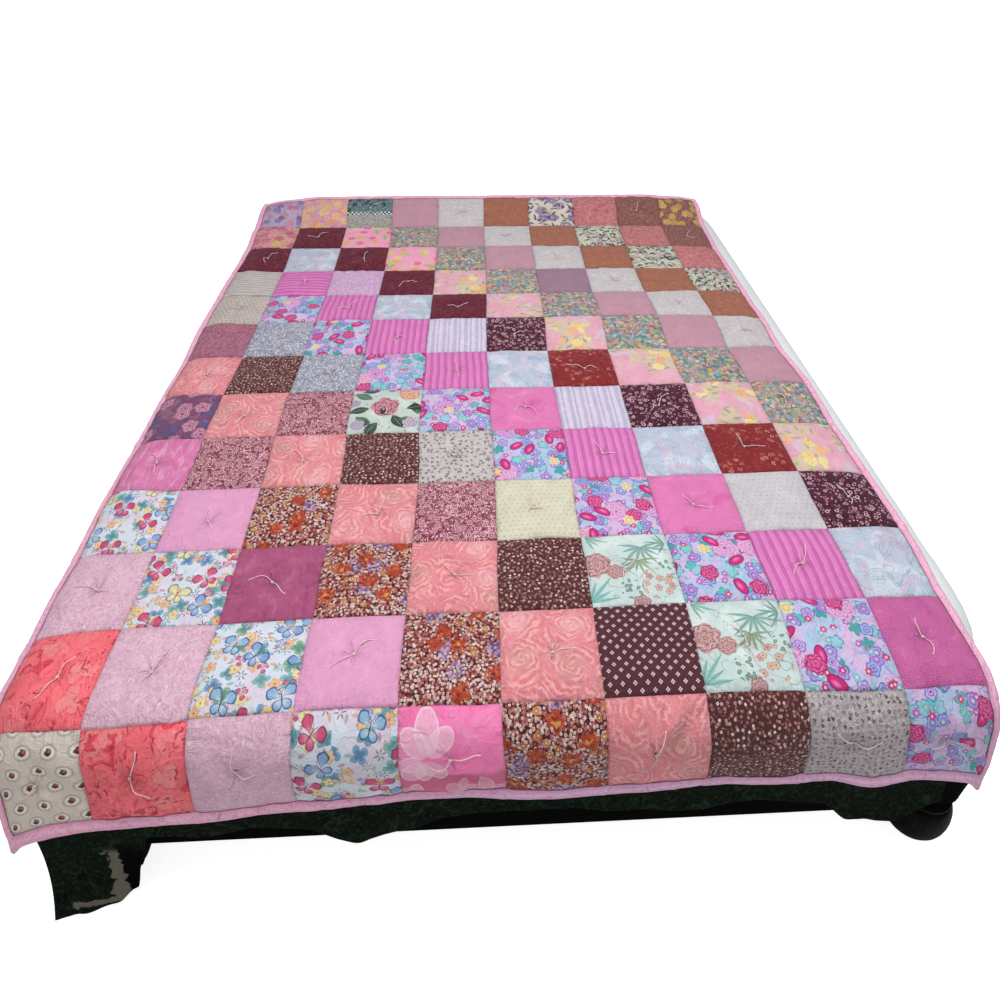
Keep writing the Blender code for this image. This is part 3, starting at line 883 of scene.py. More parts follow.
def make_frame(material):
    """The low bed's box: four covered rails with eased edges, closed underneath."""
    rings = []
    ease_edge = 0.006
    for a in np.radians((0, 22, 45, 67, 90)):
        rings.append((ease_edge * (1 - math.sin(a)), ease_edge * (1 - math.cos(a))))
    for a in np.radians((90, 67, 45, 22, 0)):
        rings.append((ease_edge * (1 - math.sin(a)), FRAME_DEEP - ease_edge * (1 - math.cos(a))))
    rings.insert(5, (0.0, 0.030))
    rings.insert(6, (0.0, 0.085))
    loops, patch_rows = [], []
    for inset, level in rings:
        pts, ways = outline(
            MATTRESS_WIDE - 2 * FRAME_IN - 2 * inset, MATTRESS_LONG - 2 * FRAME_IN_ENDS - 2 * inset, 0.040 - inset,
            per_corner=10, per_metre=24,
        )
        s = np.concatenate([[0], np.cumsum(np.linalg.norm(np.diff(pts, axis=0), axis=1))])
        belly = 0.0
        sag = -0.0006 * (1 + ripple(s * 3.0, level * 10, 51)) if 0.01 < level < 0.12 else 0.0 * s
        loops.append(
            np.stack(
                [
                    pts[:, 0] + ways[:, 0] * sag + MATTRESS_OFF_X - ORIGIN_X,
                    pts[:, 1] + ways[:, 1] * sag + MATTRESS_FOOT + MATTRESS_LONG / 2 - ORIGIN_Y,
                    np.full(len(pts), level + FLOOR_TO_FRAME),
                ],
                axis=-1,
            )
        )
        patch_rows.append((s / PITCH, level / PITCH))
    count = len(loops[0])
    faces, patch = [], []
    for k in range(len(loops) - 1):
        for i in range(count):
            n = (i + 1) % count
            faces.append((k * count + i, k * count + n, (k + 1) * count + n, (k + 1) * count + i))
            s0 = patch_rows[k][0][i]
            s1 = patch_rows[k][0][n] if n else s0 + 0.05
            patch += [(s0, patch_rows[k][1]), (s1, patch_rows[k][1]), (s1, patch_rows[k + 1][1]), (s0, patch_rows[k + 1][1])]
    for first, flip in ((0, True), ((len(loops) - 1) * count, False)):
        ring = list(range(first, first + count))
        faces.append(tuple(ring[::-1] if flip else ring))
        ids = ring[::-1] if flip else ring
        all_points = np.concatenate(loops)
        patch += [(all_points[i][0] / PITCH, all_points[i][1] / PITCH) for i in ids]
    thing = piece("bed_box", np.concatenate(loops), faces, [material])
    thing.data.set_sharp_from_angle(angle=math.radians(40))
    uv_map(thing, "Patch", np.array(patch))
    return thing


def make_foot(name, side, end, material):
    """A turned bun foot with a glide under it and a collar above."""
    turned = [
        # height  radius, shares of the foot's
        (0.000, 0.46), (0.012, 0.50), (0.030, 0.56), (0.060, 0.66), (0.11, 0.775), (0.18, 0.875),
        (0.27, 0.95), (0.37, 0.99), (0.47, 1.00), (0.57, 0.992), (0.67, 0.962), (0.76, 0.91),
        (0.835, 0.845), (0.875, 0.80), (0.885, 0.74), (0.90, 0.715), (0.925, 0.715), (0.935, 0.74),
        (0.95, 0.765), (0.975, 0.775), (0.996, 0.765), (0.999, 0.75),
    ]
    sides = 56
    x = MATTRESS_OFF_X + side * (MATTRESS_WIDE / 2 - FEET_IN_X) - ORIGIN_X
    y = MATTRESS_FOOT + MATTRESS_LONG / 2 + end * (MATTRESS_LONG / 2 - (FEET_IN_FOOT if end < 0 else FEET_IN_HEAD)) - ORIGIN_Y
    points, faces, patch = [], [], []
    for share, radius in turned:
        for k in range(sides):
            a = 2 * math.pi * k / sides
            points.append((x + FOOT_RADIUS * radius * math.cos(a), y + FOOT_RADIUS * radius * math.sin(a), share * FLOOR_TO_FRAME))
    for k in range(len(turned) - 1):
        for i in range(sides):
            n = (i + 1) % sides
            faces.append((k * sides + i, k * sides + n, (k + 1) * sides + n, (k + 1) * sides + i))
            u0, u1 = i / sides * 2.2, (i + 1) / sides * 2.2
            v0, v1 = turned[k][0] * 0.9, turned[k + 1][0] * 0.9
            patch += [(u0, v0), (u1, v0), (u1, v1), (u0, v1)]
    last = (len(turned) - 1) * sides
    faces.append(tuple(range(sides))[::-1])
    faces.append(tuple(range(last, last + sides)))
    patch += [(0.3 * math.cos(6.283 * k / sides), 0.3 * math.sin(6.283 * k / sides)) for k in range(2 * sides)]
    thing = piece(name, points, faces, [material])
    thing.data.set_sharp_from_angle(angle=math.radians(50))
    uv_map(thing, "Patch", np.array(patch))
    return thing


# Dark cloth at the foot: place across, heights of its edges above the floor and
# how far the lower one stands out from the frame.
UNDERCLOTH = [
    # across upper_edge lower_edge stands_out
    (-0.745, 0.237, 0.006, 0.052),
    (-0.700, 0.241, 0.014, 0.047),
    (-0.645, 0.248, 0.018, 0.036),
    (-0.610, 0.257, 0.045, 0.026),
    (-0.590, 0.263, 0.105, 0.016),
    (-0.560, 0.273, 0.185, 0.010),
    (-0.470, 0.290, 0.170, 0.008),
    (-0.400, 0.300, 0.190, 0.009),
    (-0.320, 0.300, 0.186, 0.009),
    (-0.235, 0.300, 0.158, 0.018),
    (-0.160, 0.300, 0.180, 0.013),
    (-0.080, 0.300, 0.199, 0.007),
    (0.060, 0.300, 0.205, 0.007),
    (0.180, 0.300, 0.195, 0.009),
    (0.300, 0.300, 0.186, 0.011),
    (0.420, 0.300, 0.202, 0.008),
    (0.520, 0.295, 0.185, 0.009),
    (0.590, 0.283, 0.128, 0.012),
    (0.660, 0.261, 0.114, 0.014),
    (0.735, 0.247, 0.168, 0.010),
]


def make_undercloth(material):
    across, levels = 300, 34
    thick = 0.0020
    x = np.linspace(UNDERCLOTH[0][0], UNDERCLOTH[-1][0], across + 1)
    share = np.linspace(0, 1, levels + 1)
    X, S = np.meshgrid(x, share)
    upper, lower, out = (along(UNDERCLOTH, X, k) for k in (1, 2, 3))
    lower = lower + 0.003 * ripple(X * 22, 0 * X, 61) + 0.0015 * ripple(X * 60, 0 * X, 62)
    Z = upper + (lower - upper) * S
    folds = 0.5 + 0.5 * (0.6 * ripple(X * 13 + S * 0.5, S * 0.6, 63) + 0.4 * ripple(X * 31 - S * 0.7, S * 1.1, 64))
    proud = out * S**3 + 0.0095 * folds * ease(S / 0.75) * (0.4 + 0.6 * ease((0.30 - X) / 0.6))
    Y = MATTRESS_FOOT - 0.0016 - proud
    front = np.stack([X - ORIGIN_X, Y - thick - ORIGIN_Y, Z], axis=-1).reshape(-1, 3)
    rear = np.stack([X - ORIGIN_X, Y - ORIGIN_Y, Z], axis=-1).reshape(-1, 3)
    n, m = across + 1, levels + 1
    base = n * m
    quads, qi, qj = corner_numbers(m, n)
    faces = [tuple(f) for f in quads] + [tuple(int(x) + base for x in f[::-1]) for f in quads]
    T = np.arange(n * m).reshape(m, n)
    rim = list(T[0]) + list(T[1:, -1]) + list(T[-1, -2::-1]) + list(T[-2:0:-1, 0])
    for a, b in zip(rim, rim[1:] + rim[:1]):
        faces.append((int(a), int(b), int(b) + base, int(a) + base))
    thing = piece("undercloth_soft", np.concatenate([front, rear]), faces, [material])
    uv = []
    for f in faces:
        for k in f:
            k = k % base
            uv.append((X.ravel()[k] / PITCH, Z.ravel()[k] / PITCH))
    uv_map(thing, "Patch", np.array(uv))
    return thing


# ------------------------------------------------------------------ fabric nodes
from types import SimpleNamespace

GREY_TO = 0.0


def ink(text):
    """A colour from six hexadecimal digits, as linear light."""
    parts = [int(text[k : k + 2], 16) / 255 for k in (0, 2, 4)]
    return tuple(x / 12.92 if x <= 0.04045 else ((x + 0.055) / 1.055) ** 2.4 for x in parts) + (1.0,)


class Cloth:
    """One printed or dyed fabric, painted layer over layer on the Patch map.

    One unit of the map is one square of the quilt, 151.5 mm.
    """

    def __init__(self, name, whole=False):
        self.material = bpy.data.materials.new(name)
        self.material.use_nodes = True
        self.tree = self.material.node_tree
        self.tree.nodes.clear()
        self.shader = self.new("ShaderNodeBsdfPrincipled")
        output = self.new("ShaderNodeOutputMaterial")
        self.tree.links.new(self.shader.outputs[0], output.inputs[0])
        uv = self.new("ShaderNodeUVMap")
        uv.uv_map = "Patch"
        self.uv = uv.outputs[0]
        self.colour = ink("808080")

    def new(self, kind, **settings):
        node = self.tree.nodes.new(kind)
        for key, value in settings.items():
            setattr(node, key, value)
        return node

    def put(self, socket, value):
        if isinstance(value, bpy.types.NodeSocket):
            self.tree.links.new(value, socket)
        elif isinstance(value, str):
            socket.default_value = ink(value)
        else:
            socket.default_value = value

    # arithmetic
    def math(self, operation, a, b=0.0, c=0.0, clamp=False):
        node = self.new("ShaderNodeMath", operation=operation, use_clamp=clamp)
        for socket, value in zip(node.inputs, (a, b, c)):
            self.put(socket, value)
        return node.outputs[0]

    def add(self, a, b):
        return self.math("ADD", a, b)

    def sub(self, a, b):
        return self.math("SUBTRACT", a, b)

    def mul(self, a, b):
        return self.math("MULTIPLY", a, b)

    def mad(self, a, b, c):
        return self.math("MULTIPLY_ADD", a, b, c)

    def both(self, a, b):
        return self.math("MINIMUM", a, b)

    def either(self, a, b):
        return self.math("MAXIMUM", a, b)

    def without(self, a, b):
        return self.math("MULTIPLY", a, self.math("SUBTRACT", 1.0, b), clamp=True)

    def inside(self, value, edge, soft=0.04):
        """1 where value is under edge, 0 over it, with a soft step."""
        node = self.new("ShaderNodeMapRange", interpolation_type="SMOOTHSTEP")
        self.put(node.inputs["Value"], value)
        if isinstance(edge, bpy.types.NodeSocket):
            self.put(node.inputs["From Min"], self.add(edge, -soft / 2))
            self.put(node.inputs["From Max"], self.add(edge, soft / 2))
        else:
            node.inputs["From Min"].default_value = edge - soft / 2
            node.inputs["From Max"].default_value = edge + soft / 2
        node.inputs["To Min"].default_value = 1.0
        node.inputs["To Max"].default_value = 0.0
        return node.outputs[0]

    def over(self, value, edge, soft=0.04):
        return self.math("SUBTRACT", 1.0, self.inside(value, edge, soft))

    # coordinates
    def coords(self, scale=1.0, turn=0.0, stretch=(1.0, 1.0), seed=0.0):
        node = self.new("ShaderNodeMapping")
        self.put(node.inputs["Vector"], self.uv)
        node.inputs["Location"].default_value = (seed * 7.31, seed * 3.17, 0.0)
        node.inputs["Rotation"].default_value = (0.0, 0.0, math.radians(turn))
        node.inputs["Scale"].default_value = (scale * stretch[0], scale * stretch[1], 1.0)
        return node.outputs[0]

    def split(self, vector):
        node = self.new("ShaderNodeSeparateXYZ")
        self.put(node.inputs[0], vector)
        return node.outputs[0], node.outputs[1]

    def join(self, x, y):
        node = self.new("ShaderNodeCombineXYZ")
        self.put(node.inputs[0], x)
        self.put(node.inputs[1], y)
        return node.outputs[0]

    def bend(self, vector, amount, scale=1.0, seed=0.0):
        """The coordinates pushed about by soft noise."""
        noise = self.new("ShaderNodeTexNoise", noise_dimensions="2D")
        shift = self.new("ShaderNodeVectorMath", operation="ADD")
        self.put(shift.inputs[0], vector)
        shift.inputs[1].default_value = (seed * 5.1, seed * 2.3, 0.0)
        self.put(noise.inputs["Vector"], shift.outputs[0])
        noise.inputs["Scale"].default_value = scale
        noise.inputs["Detail"].default_value = 1.0
        node = self.new("ShaderNodeVectorMath", operation="MULTIPLY_ADD")
        centred = self.new("ShaderNodeVectorMath", operation="SUBTRACT")
        self.put(centred.inputs[0], noise.outputs["Color"])
        centred.inputs[1].default_value = (0.5, 0.5, 0.5)
        self.put(node.inputs[0], centred.outputs[0])
        node.inputs[1].default_value = (amount, amount, 0.0)
        self.put(node.inputs[2], vector)
        return node.outputs[0]

    def noise(self, scale, detail=2.0, rough=0.5, distort=0.0, seed=0.0, stretch=(1.0, 1.0), turn=0.0, vector=None):
        node = self.new("ShaderNodeTexNoise", noise_dimensions="2D")
        self.put(node.inputs["Vector"], vector if vector is not None else self.coords(scale, turn, stretch, seed))
        node.inputs["Scale"].default_value = 1.0
        node.inputs["Detail"].default_value = detail
        node.inputs["Roughness"].default_value = rough
        node.inputs["Distortion"].default_value = distort
        return node.outputs[0]

    # motifs
    def scatter(self, scale, jitter=0.9, seed=0.0, spin=True, warp=0.0, turn=0.0, stretch=(1.0, 1.0), vector=None, swing=6.283):
        """The nearest of a scatter of centres: place, distance and chance values."""
        v = vector if vector is not None else self.coords(scale, turn, stretch, seed)
        if warp:
            v = self.bend(v, warp)
        node = self.new("ShaderNodeTexVoronoi", voronoi_dimensions="2D", feature="F1")
        self.put(node.inputs["Vector"], v)
        node.inputs["Scale"].default_value = 1.0
        node.inputs["Randomness"].default_value = jitter
        away = self.new("ShaderNodeVectorMath", operation="SUBTRACT")
        self.put(away.inputs[0], v)
        self.put(away.inputs[1], node.outputs["Position"])
        chance = self.new("ShaderNodeSeparateColor")
        self.put(chance.inputs[0], node.outputs["Color"])
        a, b, c = chance.outputs[0], chance.outputs[1], chance.outputs[2]
        place = away.outputs[0]
        if spin:
            turned = self.new("ShaderNodeVectorRotate", rotation_type="Z_AXIS")
            self.put(turned.inputs["Vector"], place)
            self.put(turned.inputs["Angle"], self.mul(a, swing))
            place = turned.outputs[0]
        x, y = self.split(place)
        return SimpleNamespace(x=x, y=y, r=node.outputs["Distance"], a=a, b=b, c=c, v=v, place=place, t=None)

    def grid(self, across, down, stagger=True, seed=0.0, turn=0.0):
        """Evenly spaced centres, every other row shifted by half a step."""
        v = self.coords(1.0, turn, (across, down), seed)
        x, y = self.split(v)
        row = self.math("FLOOR", y)
        if stagger:
            x = self.add(x, self.mul(self.math("MODULO", self.math("ABSOLUTE", row), 2.0), 0.5))
        column = self.math("FLOOR", x)
        fx = self.sub(self.sub(x, column), 0.5)
        fy = self.sub(self.sub(y, row), 0.5)
        if across != down:
            fy = self.mul(fy, across / down)
        chance = self.new("ShaderNodeTexWhiteNoise", noise_dimensions="2D")
        self.put(chance.inputs["Vector"], self.join(column, row))
        parts = self.new("ShaderNodeSeparateColor")
        self.put(parts.inputs[0], chance.outputs["Color"])
        r = self.math("SQRT", self.add(self.mul(fx, fx), self.mul(fy, fy)))
        return SimpleNamespace(
            x=fx, y=fy, r=r, a=parts.outputs[0], b=parts.outputs[1], c=parts.outputs[2], v=v, place=self.join(fx, fy), t=None
        )

    def spot(self, x, y, size, turn=0.0, flip=1.0):
        """One place in the square (its own 0 to 1), measured in units of size."""
        fract = self.new("ShaderNodeVectorMath", operation="FRACTION")
        self.put(fract.inputs[0], self.uv)
        away = self.new("ShaderNodeVectorMath", operation="SUBTRACT")
        self.put(away.inputs[0], fract.outputs[0])
        away.inputs[1].default_value = (x, y, 0.0)
        node = self.new("ShaderNodeMapping", vector_type="TEXTURE")
        self.put(node.inputs["Vector"], away.outputs[0])
        node.inputs["Rotation"].default_value = (0.0, 0.0, math.radians(turn))
        node.inputs["Scale"].default_value = (size * flip, size, 1.0)
        px, py = self.split(node.outputs[0])
        r = self.math("SQRT", self.add(self.mul(px, px), self.mul(py, py)))
        return SimpleNamespace(x=px, y=py, r=r, a=0.5, b=0.5, c=0.5, v=node.outputs[0], place=node.outputs[0], t=None)

    def angle(self, m):
        if m.t is None:
            m.t = self.math("ARCTAN2", m.y, m.x)
        return m.t

    def petals(self, m, count, size, depth=0.35, soft=0.05, sharp=1.0, twist=0.0):
        wave = self.mul(self.angle(m), count / 2)
        if twist:
            wave = self.mad(m.r, twist, wave)
        wave = self.math("ABSOLUTE", self.math("COSINE", wave))
        if sharp != 1.0:
            wave = self.math("POWER", wave, sharp)
        edge = self.mad(wave, depth, 1.0 - depth)
        edge = self.mul(edge, size)
        return self.inside(m.r, edge, soft)

    def disk(self, m, size, soft=0.04):
        return self.inside(m.r, size, soft)

    def ring(self, m, size, width, soft=0.03):
        return self.inside(self.math("ABSOLUTE", self.sub(m.r, size)), width / 2, soft)

    def leaf(self, m, long, wide, soft=0.03, dx=0.0, dy=0.0, bow=0.0):
        x = self.add(m.x, -dx)
        y = self.add(m.y, -dy)
        square = self.mul(x, x)
        if bow:
            y = self.mad(square, bow, y)
        edge = self.mad(square, -wide / (long * long), wide)
        return self.inside(self.math("ABSOLUTE", y), edge, soft)

    def oval(self, m, rx, ry, soft=0.06, dx=0.0, dy=0.0, turn=0.0):
        if turn:
            c, s = math.cos(math.radians(turn)), math.sin(math.radians(turn))
            x0, y0 = self.add(m.x, -dx), self.add(m.y, -dy)
            x = self.mad(x0, c / rx, self.mul(y0, s / rx))
            y = self.mad(y0, c / ry, self.mul(x0, -s / ry))
        else:
            x = self.mul(self.add(m.x, -dx), 1 / rx)
            y = self.mul(self.add(m.y, -dy), 1 / ry)
        r = self.math("SQRT", self.add(self.mul(x, x), self.mul(y, y)))
        return self.inside(r, 1.0, soft / min(rx, ry))

    def vines(self, scale, width, seed=0.0, detail=1.0, distort=0.6, level=0.5, rough=0.5):
        n = self.noise(scale, detail, rough, distort, seed)
        return self.inside(self.math("ABSOLUTE", self.sub(n, level)), width, width * 0.9)

    def bands(self, count, duty, soft=0.10, upright=True, seed=0.0, sway=0.0):
        v = self.coords(1.0, 0.0, (count, count), seed)
        if sway:
            v = self.bend(v, sway, 0.4)
        x, y = self.split(v)
        t = self.math("PINGPONG", x if upright else y, 0.5)
        return self.inside(self.mul(t, 2.0), duty, soft)

    def at(self, m, dx=0.0, dy=0.0, turn=0.0, grow=1.0):
        """The same motif seen from a point beside its centre, turned and sized."""
        x, y = self.add(m.x, -dx), self.add(m.y, -dy)
        if turn or grow != 1.0:
            c, s = math.cos(math.radians(turn)) / grow, math.sin(math.radians(turn)) / grow
            x, y = self.mad(x, c, self.mul(y, s)), self.mad(y, c, self.mul(x, -s))
        r = self.math("SQRT", self.add(self.mul(x, x), self.mul(y, y)))
        return SimpleNamespace(x=x, y=y, r=r, a=m.a, b=m.b, c=m.c, v=m.v, place=self.join(x, y), t=None)

    def ragged(self, m, amount, scale, seed=0.0):
        """The same motif with an uneven edge."""
        rough = SimpleNamespace(**vars(m))
        rough.r = self.mad(self.noise(scale, 1.0, 0.5, 0.0, seed), amount, self.add(m.r, -amount / 2))
        rough.t = None
        return rough

    def wing(self, m, long, wide, power=1.5, soft=0.03, blunt=False):
        """A petal or wing from the centre out along x, widest near its end."""
        along_it = self.mul(m.x, 1 / long)
        u = self.math("ADD", along_it, 0.0, clamp=True)
        s = self.math("SINE", self.mul(self.math("POWER", u, power), math.pi))
        if blunt:
            s = self.math("SQRT", self.either(s, 0.0))
        across = self.sub(self.math("ABSOLUTE", m.y), self.mul(s, wide))
        ends = self.inside(self.math("ABSOLUTE", self.add(along_it, -0.5)), 0.485, 0.03)
        return self.both(self.inside(across, 0.0, soft), ends)

    def rose(self, m, size, count, rings, body, dark, light, wanted=None, soft=0.03, share=0.85):
        """A full rose: rings of petals, dark at the foot and pale at the rim."""
        bloom = self.petals(m, count, size, 0.16, soft=soft)
        if wanted is not None:
            bloom = self.both(wanted, bloom)
        self.paint(bloom, body)
        ring = self.mul(m.r, rings / size)
        step = self.mul(self.math("FLOOR", ring), 2.4)
        scallop = self.mul(self.math("COSINE", self.mad(self.angle(m), float(count), step)), 0.26)
        part = self.math("FRACT", self.add(ring, scallop))
        self.paint(self.both(bloom, self.inside(part, 0.24, 0.24)), dark, share)
        self.paint(self.both(bloom, self.over(part, 0.66, 0.24)), light, share)
        return bloom

    def crowd(self, m, scale, seed=0.0):
        """Packed petals: 1 along their edges, and a chance value for each."""
        place = self.new("ShaderNodeVectorMath", operation="SCALE")
        self.put(place.inputs[0], m.place)
        place.inputs["Scale"].default_value = scale
        moved = self.new("ShaderNodeVectorMath", operation="ADD")
        self.put(moved.inputs[0], place.outputs[0])
        moved.inputs[1].default_value = (seed * 3.3, seed * 1.7, 0.0)
        edge = self.new("ShaderNodeTexVoronoi", voronoi_dimensions="2D", feature="DISTANCE_TO_EDGE")
        cell = self.new("ShaderNodeTexVoronoi", voronoi_dimensions="2D", feature="F1")
        for node in (edge, cell):
            self.put(node.inputs["Vector"], moved.outputs[0])
            node.inputs["Scale"].default_value = 1.0
        parts = self.new("ShaderNodeSeparateColor")
        self.put(parts.inputs[0], cell.outputs["Color"])
        return self.inside(edge.outputs["Distance"], 0.085, 0.08), parts.outputs[0]

    # colour
    def pick(self, value, *colours, smooth=False):
        node = self.new("ShaderNodeValToRGB")
        ramp = node.color_ramp
        ramp.interpolation = "LINEAR" if smooth else "CONSTANT"
        while len(ramp.elements) < len(colours):
            ramp.elements.new(0.5)
        for k, colour in enumerate(colours):
            ramp.elements[k].position = k / (len(colours) - 1 if smooth else len(colours))
            ramp.elements[k].color = ink(colour)
        self.put(node.inputs[0], value)
        return node.outputs[0]

    def mix(self, mask, a, b, how="MIX"):
        node = self.new("ShaderNodeMix", data_type="RGBA", blend_type=how)
        self.put(node.inputs[0], mask)
        self.put(node.inputs[6], a)
        self.put(node.inputs[7], b)
        return node.outputs[2]

    def ground(self, colour):
        self.colour = ink(colour) if isinstance(colour, str) else colour
        return self

    def paint(self, mask, colour, share=1.0):
        if share != 1.0:
            mask = self.mul(mask, share) if isinstance(mask, bpy.types.NodeSocket) else mask * share
        self.colour = self.mix(mask, self.colour, colour)
        return mask

    def mottle(self, scale, dark, light, share=0.5, seed=0.0, detail=3.0, distort=0.5, low=0.35, high=0.65):
        """Cloudy lighter and darker places, as in a hand dyed cloth."""
        n = self.noise(scale, detail, 0.55, distort, seed)
        self.paint(self.inside(n, low, 0.22), dark, share)
        self.paint(self.over(n, high, 0.22), light, share)

    def second_map(self, name):
        node = self.new("ShaderNodeUVMap")
        node.uv_map = name
        return self.split(node.outputs[0])

    def gathers_and_painted_shade(self):
        """How the cloth draws in along the seams and about the knots: masks for the bump, and for the painted shade
        along the seams and over the puckers, creases and crinkles.
        """
        sx, sy = self.second_map("Square")
        ex, ey = self.both(sx, self.sub(1.0, sx)), self.both(sy, self.sub(1.0, sy))
        seam = self.both(ex, ey)
        # line and foot only darken the colour: painted shade along the seam, partly its own dark line, and round the
        # foot of each puff
        line, foot = self.inside(seam, 0.010, 0.020), self.inside(seam, 0.04, 0.09)
        across = self.noise(1.0, 2.0, 0.6, 0.4, 15.0, stretch=(4.0, 21.0))
        upright = self.noise(1.0, 2.0, 0.6, 0.4, 16.0, stretch=(21.0, 4.0))
        pucker = self.add(
            self.mul(self.add(across, -0.5), self.inside(ex, 0.10, 0.20)), self.mul(self.add(upright, -0.5), self.inside(ey, 0.10, 0.20))
        )
        kx, ky = self.second_map("Knot")
        away = self.math("SQRT", self.add(self.mul(kx, kx), self.mul(ky, ky)))
        crinkle = self.noise(4.5, 3.0, 0.6, 1.0, 21.0)
        rays = self.math("SINE", self.mad(self.math("ARCTAN2", ky, kx), 5.0, self.mul(crinkle, 7.0)))
        crease = self.mul(rays, self.inside(away, 0.13, 0.26))
        return line, foot, pucker, crease, crinkle

    def done(self, weave=1.0, rough=0.86, sheen=0.10, worn=0.06, bump=1.0, pieced=False, specular=0.22):
        """The thread of the cloth, its slight unevenness and its finish; on pieced squares also painted shade along the
        seams and painted light and shade over the puckers, creases and crinkles.
        """
        warp = self.noise(1.0, 1.0, 0.5, 0.0, 3.0, stretch=(210.0, 26.0))
        weft = self.noise(1.0, 1.0, 0.5, 0.0, 5.0, stretch=(26.0, 210.0))
        thread = self.add(warp, weft)
        cloudy = self.noise(2.7, 3.0, 0.6, 0.0, 9.0)
        tone = self.mad(thread, 0.22 * weave, 1.0 - 0.22 * weave)
        tone = self.add(tone, self.mad(cloudy, 2 * worn, -worn))
        if pieced:
            # painted shade: darker along each seam line, partly the seam's own dark line, and round the foot of each
            # puff
            line, foot, pucker, crease, crinkle = self.gathers_and_painted_shade()
            tone = self.mul(tone, self.mad(line, -0.21, 1.0))
            tone = self.mul(tone, self.mad(foot, -0.035, 1.0))
            # painted light and shade following the crinkles, the seam puckers and the creases round the knots, on top
            # of the bump
            tone = self.add(tone, self.mad(crinkle, 0.22, -0.11))
            tone = self.add(tone, self.mul(pucker, 0.20))
            tone = self.add(tone, self.mul(crease, 0.045))
        node = self.new("ShaderNodeVectorMath", operation="SCALE")
        self.put(node.inputs[0], self.colour)
        self.put(node.inputs["Scale"], tone)
        self.put(self.shader.inputs["Base Color"], node.outputs[0])
        relief = self.new("ShaderNodeBump")
        relief.inputs["Strength"].default_value = 0.35 * bump
        relief.inputs["Distance"].default_value = 0.0005
        self.put(relief.inputs["Height"], thread)
        if pieced:
            drawn = self.new("ShaderNodeBump")
            drawn.inputs["Strength"].default_value = 0.85
            drawn.inputs["Distance"].default_value = 0.0042
            self.put(drawn.inputs["Height"], self.add(self.add(self.mul(crease, 0.50), pucker), self.mul(crinkle, 1.35)))
            self.put(drawn.inputs["Normal"], relief.outputs[0])
            self.put(self.shader.inputs["Normal"], drawn.outputs[0])
        else:
            self.put(self.shader.inputs["Normal"], relief.outputs[0])
        self.put(self.shader.inputs["Roughness"], self.mad(cloudy, 0.08, rough - 0.04))
        self.shader.inputs["Specular IOR Level"].default_value = specular
        self.shader.inputs["Sheen Weight"].default_value = sheen
        self.shader.inputs["Sheen Roughness"].default_value = 0.55
        return self.material


# ------------------------------------------------------------------ fabrics
def plain(c, colour, dark, light):
    c.ground(colour)
    c.mottle(5.0, dark, light, 0.35)
    cross = c.noise(1.0, 2.0, 0.6, 0.0, 2.0, stretch=(120.0, 9.0))
    c.paint(c.over(cross, 0.56, 0.16), light, 0.30)


def mauve(c): plain(c, "c393a4", "b9879a", "cda2b0")
def purple_mauve(c): plain(c, "9d7c90", "917087", "a98a9c")
def rust(c):
    plain(c, "a56853", "985a47", "b37762")
    c.mottle(11.0, "8c5042", "c08672", 0.5, seed=6)
def pink_plain(c): plain(c, "e6a2ca", "dd95bf", "edb0d3")


def magenta_mauve(c):
    c.ground("ad557d")
    c.mottle(4.0, "97436c", "bf6b92", 0.85, detail=5.0)
    c.mottle(14.0, "964369", "bf7295", 0.45, seed=4, detail=4.0)


def ecru(c):
    c.ground("cac4c7")
    c.mottle(4.0, "bfb9be", "d4cfd0", 0.5)
    c.paint(c.vines(9.0, 0.030, distort=1.6), "dcd6d8", 0.7)
    c.paint(c.vines(17.0, 0.030, seed=3), "b9b2b8", 0.45)
    m = c.scatter(12.0, seed=2)
    c.paint(c.petals(m, 5, 0.26, 0.4), "dcd6d8", 0.6)


def rose_mottled(c):
    c.ground("c07678")
    c.mottle(5.0, "a8585f", "d6928f", 0.85, detail=4.0, distort=1.2)
    c.mottle(15.0, "a9585f", "dc9c98", 0.55, seed=4)
    m = c.scatter(9.0, seed=2)
    c.paint(c.leaf(m, 0.38, 0.12), "dc9a98", 0.6)


def brown_mauve(c):
    c.ground("8b5954")
    c.mottle(6.0, "744440", "a37068", 0.85, detail=4.0, distort=1.0)
    m = c.scatter(11.0, seed=2)
    c.paint(c.petals(m, 4, 0.30, 0.5), "ac7c74", 0.6)
    n = c.scatter(17.0, 0.95, 5.0)
    c.paint(c.both(c.over(n.c, 0.5, 0.01), c.leaf(n, 0.36, 0.12)), "6b3f3e", 0.6)


def brown_mauve_gold(c):
    brown_mauve(c)
    m = c.scatter(3.8, jitter=0.7, seed=3)
    c.rose(c.ragged(m, 0.08, 18.0), 0.40, 6, 2.4, c.pick(m.b, "cf9f52", "c08a48", "d4ae62"), "8f6238", "e2c282", share=0.7)
    n = c.scatter(8.0, seed=6)
    c.paint(c.leaf(n, 0.40, 0.10), "b79b5a", 0.75)


def lavender_wash(c):
    c.ground("c0b1c8")
    c.paint(c.over(c.noise(3.0, 3.0, 0.5, 0.5, 1.0), 0.55, 0.2), "97a8cc", 0.8)
    c.paint(c.over(c.noise(4.0, 3.0, 0.5, 0.5, 2.0), 0.56, 0.2), "cf98ba", 0.8)
    m = c.scatter(4.4, 0.8, 3.0)
    c.rose(c.ragged(m, 0.08, 18.0), 0.42, 5, 2.2, c.pick(m.b, "7a62a4", "d4809f", "8a78b4", "c272a2"), c.pick(m.b, "54407c", "9f4f74", "63508c", "8c4478"), c.pick(m.b, "a08cc4", "e8aebf", "b0a2cf", "dda0c0"))
    n = c.scatter(8.0, 0.9, 5.0)
    c.paint(c.leaf(n, 0.38, 0.11), c.pick(n.b, "6f9fa8", "7fa68e", "a58fbc"), 0.7)


